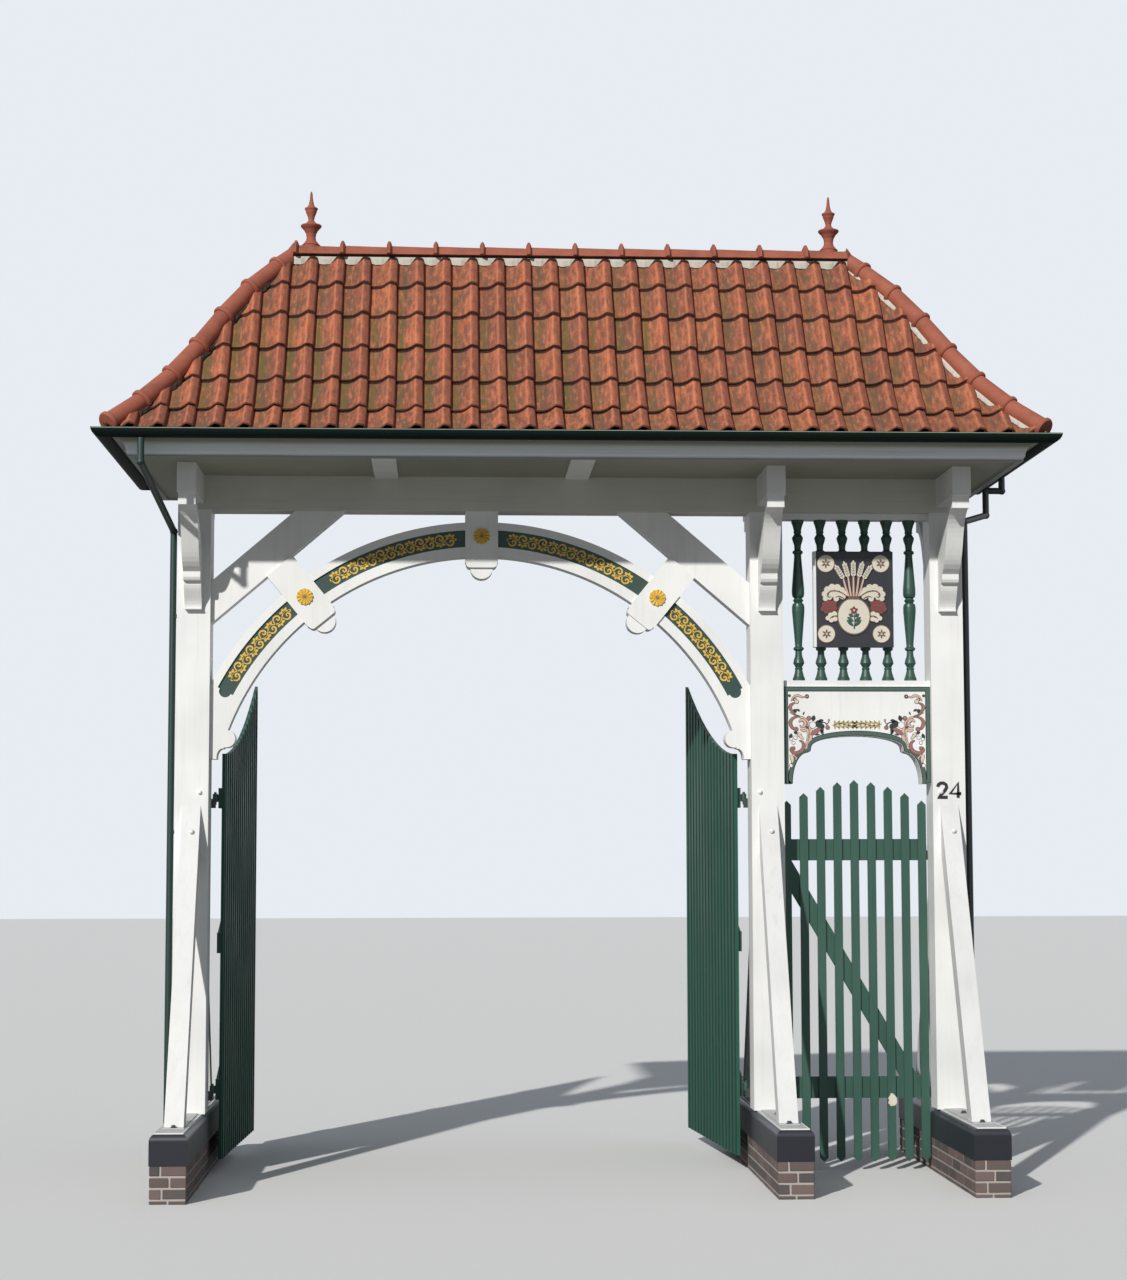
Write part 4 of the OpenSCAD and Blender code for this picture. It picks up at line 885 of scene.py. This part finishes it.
# Between them a plain sprig in faded gold
SPRIG_Z = PANEL_TOP - 0.287
sprig = Batch(PANEL_Y)
sprig.stroke([(BAY_X + x / 1000, SPRIG_Z + 0.007 * math.sin(x / 26)) for x in range(-186, 187, 6)], 0.007)
for k, up in product(range(-5, 6), (-1, 1)):
    for lean, size in ((0.60, 0.046), (1.45, 0.036)):
        sprig.leaf(BAY_X + 0.034 * k, SPRIG_Z, size, 0.014, mirrored(up * lean, k < 0))
sprig.make("panel_sprig", FADED_GOLD, "gold")

# Crest board: wheat ears over an oval medallion, ruffled leaves and a plain flower in each corner
lo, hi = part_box("crest_board")
CREST_X, CREST_Z = (lo.x + hi.x) / 2, (lo.z + hi.z) / 2
cream, red, leafy, sand, brown, edge = [Batch(lo.y) for _ in range(6)]
edge.box((lo.x - 0.001, lo.y - 0.004, lo.z), (lo.x + 0.020, hi.y, hi.z), 0.001)


def crest(x, z):
    return CREST_X + x, CREST_Z + z


def crest_stroke(batch, points, widths, thick):
    path = smooth([(*crest(x, z), w) for (x, z), w in zip(points, widths)])
    batch.stroke(path, [w for *_, w in path], thick)


# Wheat ears in a fan, tied over the medallion
for k in range(-2, 3):
    lean = 0.30 * k
    head = (0.135 * math.sin(lean), 0.072 + 0.098 * math.cos(lean))
    stalk = [(0.012 * k, -0.010), (0.35 * head[0] + 0.012 * k, 0.060), head]
    crest_stroke(sand, stalk, [0.012, 0.013, 0.011], 0.012)
    heading = math.pi / 2 - lean * 0.9

    def ear_place(off):
        return crest(head[0] + math.cos(heading) * off, head[1] + math.sin(heading) * off)

    for g, side in product(range(5), (-1, 1)):
        cream.leaf(*ear_place(0.019 * g), 0.034, 0.018, heading + side * 0.5, 0.015)
    cream.leaf(*ear_place(0.09), 0.034, 0.016, heading, 0.015)
tie = [(-0.046, -0.002), (0.046, -0.002), (0.040, 0.022), (-0.040, 0.022)]
brown.plate([crest(x, z) for x, z in tie], 0.016)

# Oval medallion: cream field, sprig of leaves and a bud
brown.plate(around(*crest(0.0, -0.128), 0.128, 0.142, 48), 0.010)
cream.plate(around(*crest(0.0, -0.128), 0.118, 0.132, 48), 0.013)
crest_stroke(leafy, [(0.000, -0.225), (0.006, -0.170), (0.000, -0.105)], [0.009, 0.008, 0.006], 0.016)
for side in (-1, 1):
    for z, size, angle in ((-0.205, 0.072, 0.75), (-0.170, 0.060, 0.62), (-0.135, 0.044, 0.55)):
        leafy.leaf(*crest(side * 0.003, z), size, 0.026, mirrored(angle, side > 0), 0.016)
for k in range(5):
    red.leaf(*crest(0.0, -0.085), 0.032, 0.022, math.pi / 2 + 2 * math.pi * k / 5, 0.017)
sand.disc(*crest(0.0, -0.085), 0.009, 0.019)

# Ruffled leaves on both sides, cream above and red below: round lobes with a dark edge, and ribs
RUFFLES = [
    (cream, [(0.060, 0.042, 0.026), (0.088, 0.066, 0.027), (0.122, 0.086, 0.030), (0.162, 0.088, 0.030),
             (0.197, 0.070, 0.029), (0.217, 0.037, 0.027), (0.213, 0.003, 0.023), (0.182, 0.012, 0.022),
             (0.158, 0.040, 0.032), (0.118, 0.036, 0.032), (0.082, 0.020, 0.026), (0.132, 0.002, 0.024)]),
    (red, [(0.150, -0.034, 0.024), (0.184, -0.032, 0.025), (0.216, -0.045, 0.024), (0.228, -0.075, 0.022),
           (0.206, -0.092, 0.021), (0.176, -0.070, 0.028), (0.148, -0.070, 0.024)]),
    (cream, [(0.146, -0.112, 0.024), (0.174, -0.122, 0.024), (0.196, -0.144, 0.021), (0.170, -0.158, 0.022),
             (0.142, -0.150, 0.022)]),
]
RIBS = [
    [(0.050, 0.020), (0.100, 0.052), (0.160, 0.062), (0.196, 0.040), (0.190, 0.014), (0.170, 0.018)],
    [(0.074, 0.004), (0.110, 0.020), (0.136, 0.012)],
    [(0.136, -0.052), (0.176, -0.050), (0.208, -0.064), (0.198, -0.082), (0.182, -0.074)],
    [(0.134, -0.126), (0.162, -0.132), (0.180, -0.148)],
]
for side in (-1, 1):
    for batch, lobes in RUFFLES:
        for k, (x, z, r) in enumerate(lobes):
            high = 0.0005 * (k % 4)
            batch.disc(*crest(side * x, z), r - 0.004, 0.0105 + high, 16)
            brown.disc(*crest(side * x, z), r, 0.0080 + high, 16)
    for points in RIBS:
        widths = [0.007] + [0.008] * (len(points) - 2) + [0.005]
        crest_stroke(brown, [(side * x, z) for x, z in points], widths, 0.0135)

# A plain flower on a round field in each corner
for sx, z in product((-1, 1), (-0.262, 0.268)):
    spot = crest(sx * 0.207, z)
    brown.disc(*spot, 0.069, 0.005, 32)
    cream.disc(*spot, 0.063, 0.008, 32)
    for k in range(6):
        brown.leaf(*spot, 0.036, 0.013, math.pi * k / 3 + 0.5, 0.011)
    sand.disc(*spot, 0.009, 0.013, 14)
for batch, label, mat in ((cream, "cream", CREAM), (sand, "sand", BLUSH), (brown, "brown", UMBER),
                          (red, "red", CREST_RED), (leafy, "leaves", GREEN), (edge, "edge", WHITE)):
    batch.make("crest_" + label, mat, "crest")

# House number on the right post, as plain figures
FIGURES = [
    [(0.06, 0.74), (0.12, 0.89), (0.28, 0.99), (0.50, 0.99), (0.68, 0.88), (0.72, 0.70), (0.58, 0.48),
     (0.32, 0.24), (0.06, 0.03), (0.78, 0.03)],
    [(0.62, 0.0), (0.62, 1.0), (0.03, 0.28), (0.84, 0.28)],
]
FIGURE_PITCH, FIGURE_W, FIGURE_H, FIGURE_Z = 0.096, 0.102, 0.110, 2.762
figures = Batch(-POST / 2)
for k, line in enumerate(FIGURES):
    left = RIGHT_X - 0.092 + k * FIGURE_PITCH
    figures.stroke([(left + x * FIGURE_W, FIGURE_Z + z * FIGURE_H) for x, z in line], 0.024, 0.004)
figures.make("house_number", BLACK, "iron")

# Domed pegs through the posts and struts
DOME = [(1.0, 0.0), (0.95, 0.55), (0.7, 0.95), (0.25, 1.15)]
pegs = Batch()
for x, y_sign in product(POST_XS, (-1, 1)):
    post_peg = (x + (0.060 if x < -1 else -0.060), POST / 2, 2.805, 0.017)
    strut_peg = (x + 0.012, POST / 2 + 0.087, 2.515, 0.019)
    for px, y, z, r in (post_peg, strut_peg):
        verts = [(u, y_sign * (y + r * rise), v) for share, rise in DOME
                 for u, v in around(px, z, r * share, r * share, 12)]
        pegs.extend(verts, strips(4, 12) + [[36 + k for k in range(12)]])
pegs.make("post_pegs", WHITE, "white_paint", smooth=True)


def edge_strips(x0, y0, x1, y1, inside, outside=0.0):
    """Four strips along the edges of a rectangle, as lower and upper corners in plan."""
    return [((x0 - outside, y0), (x0 + inside, y1)), ((x1 - inside, y0), (x1 + outside, y1)),
            ((x0, y0 - outside), (x1, y0 + inside)), ((x0, y1 - inside), (x1, y1 + outside))]


# On each coping a zinc sheet, its edge turned down on the rounding and painted white as a highlight, and
# bolts for the sole plates
SHEET_HALF = 0.100
SHEET_END = PLINTH_END - 0.030
BOLT_Z = COPING_Z + 0.008
BOLT_R = 0.015
bolts, sheets, turned = Batch(), Batch(), Batch()
for x in POST_XS:
    for y in (-1.098, -0.470, 0.470, 1.098):
        bolts.box((x - 0.021, y - 0.018, BOLT_Z), (x + 0.021, y + 0.018, BOLT_Z + 0.004), 0.001)
        head = [(x + BOLT_R * math.cos(a), y + BOLT_R * math.sin(a)) for a in
                [math.pi * (k / 3 + 0.25) for k in range(6)]]
        bolts.extend([(*p, BOLT_Z + rise) for rise in (0.003, 0.018) for p in head], bar_faces(2, 6))
    x0, x1 = x - SHEET_HALF, x + SHEET_HALF
    sheets.box((x0, -SHEET_END, COPING_Z - 0.007), (x1, SHEET_END, COPING_Z + 0.002), 0.001)
    # White edge strips: painted highlight along the sheet's edge
    for a, b in edge_strips(x0, -SHEET_END, x1, SHEET_END, 0.006, 0.001):
        turned.box((*a, COPING_Z - 0.008), (*b, COPING_Z + 0.004), 0.001)
bolts.make("plate_bolts", IRON, "iron")
sheets.make("zinc_sheets", ZINC, "plate")
turned.make("zinc_edge_highlights", WHITE, "plate")

# Bare patch on one picket of the wicket's gate
patch = Batch(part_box("gate_pickets")[0].y)
PATCH_X, PATCH_Z = 0.938, 0.520
patch.plate([(PATCH_X + u * (1.0 + 0.18 * math.sin(3 * k)), PATCH_Z + v * (1.0 + 0.15 * math.cos(5 * k)))
             for k, (u, v) in enumerate(around(0, 0, 0.031, 0.048, 16))])
patch.make("picket_patch", CREAM, "leaf_green", body="wicket_gate")

# Pale rim along the gutters: worn paint, and painted highlight of the sunlit lip
lo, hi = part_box("gutters")
rim = Batch()
for a, b in edge_strips(lo.x, lo.y, hi.x, hi.y, 0.009):
    rim.box((*a, hi.z - 0.010), (*b, hi.z), 0.003)
rim.make("gutter_rim_highlights", GUTTER_RIM_HIGHLIGHT, "gutter")

# Finish of the CAD pieces that stay
LOOKS = [
    (GLAZE, "coping_left coping_middle coping_right"),
    (WHITE, "post_left post_middle post_right front_brackets rear_brackets cross_beams joists arch_ring"),
    (WHITE, "arch_corbels knee_braces pendants wicket_panel"),
    (WHITE_X, "wicket_rails"),
    (STRUT_SHADED_WHITE, "front_struts rear_struts"),
    (LINTEL_SHADED_WHITE, "lintel"),
    (SOFFIT_PAINTED_SHADE, "soffit"),
    (EAVES_PAINTED_SHADE, "cornice"),
    (GUTTER_SHADED, "gutters"),
    (PIPE_GREEN, "downpipe_left"),
    (PIPE_DARK, "downpipe_right"),
    (RIDGE_CLAY, "ridge_tiles hip_tiles finials"),
    (BAND_GREEN, "arch_band"),
    (GOLD, "rosettes"),
    (GREEN, "balustrade left_leaf_ledges right_leaf_ledges"),
    (BLACK_BOARD, "crest_board"),
    (LEFT_LEAF, "left_leaf_boards"),
    (RIGHT_LEAF, "right_leaf_boards"),
    (PICKET_GREEN, "gate_pickets gate_frame"),
    (ZINC, "strut_shoes"),
    (IRON, "pintles"),
]
for mat, names in LOOKS:
    for name in names.split():
        nodes[name].data.materials.clear()
        nodes[name].data.materials.append(mat)

# Plain floor, pale surround and soft light
floor = bpy.data.meshes.new("floor")
floor.from_pydata([(-60, -40, 0), (60, -40, 0), (60, 80, 0), (-60, 80, 0)], [], [(0, 1, 2, 3)])
in_scene("floor", floor)
ground = Shading("floor_pale")
direct = ground.node("ShaderNodeLightPath").outputs["Is Camera Ray"]
ground.wire(ground.mix(direct, (0.27, 0.27, 0.26), (0.78, 0.78, 0.77)), ground.bsdf.inputs["Base Color"])
ground.wire(0.9, ground.bsdf.inputs["Roughness"])
floor.materials.append(ground.owner)

# Sky light for the object; camera, gloss and glass see a plain pale background instead
sky = Shading("world", "worlds")
bpy.context.scene.world = sky.owner
rays = sky.node("ShaderNodeLightPath").outputs
seen = sky.math("MAXIMUM", rays["Is Camera Ray"], rays["Is Glossy Ray"])
seen = sky.math("MAXIMUM", seen, rays["Is Transmission Ray"])
blend = sky.node("ShaderNodeMixShader")
sky.wire(seen, blend.inputs[0])
for back, colour, strength, socket in (
        (sky.tree.nodes["Background"], (0.80, 0.88, 1.0), 0.24, blend.inputs[1]),
        (sky.node("ShaderNodeBackground"), (0.80, 0.84, 0.89), 1.0, blend.inputs[2])):
    sky.wire(colour, back.inputs["Color"])
    sky.wire(strength, back.inputs["Strength"])
    sky.wire(back.outputs[0], socket)
sky.wire(blend.outputs[0], sky.tree.nodes["World Output"].inputs["Surface"])

SUN_PLACE = Vector((-5.3, -10.0, 6.1))
sun = bpy.data.lights.new("key", "SUN")
sun.energy = 3.55
sun.color = (1.0, 0.975, 0.94)
sun.angle = 0.02
sun_obj = in_scene("key", sun)
sun_obj.rotation_euler = (-SUN_PLACE).to_track_quat("-Z", "Y").to_euler()
sun_obj.location = SUN_PLACE

bpy.context.scene.view_settings.view_transform = "Standard"
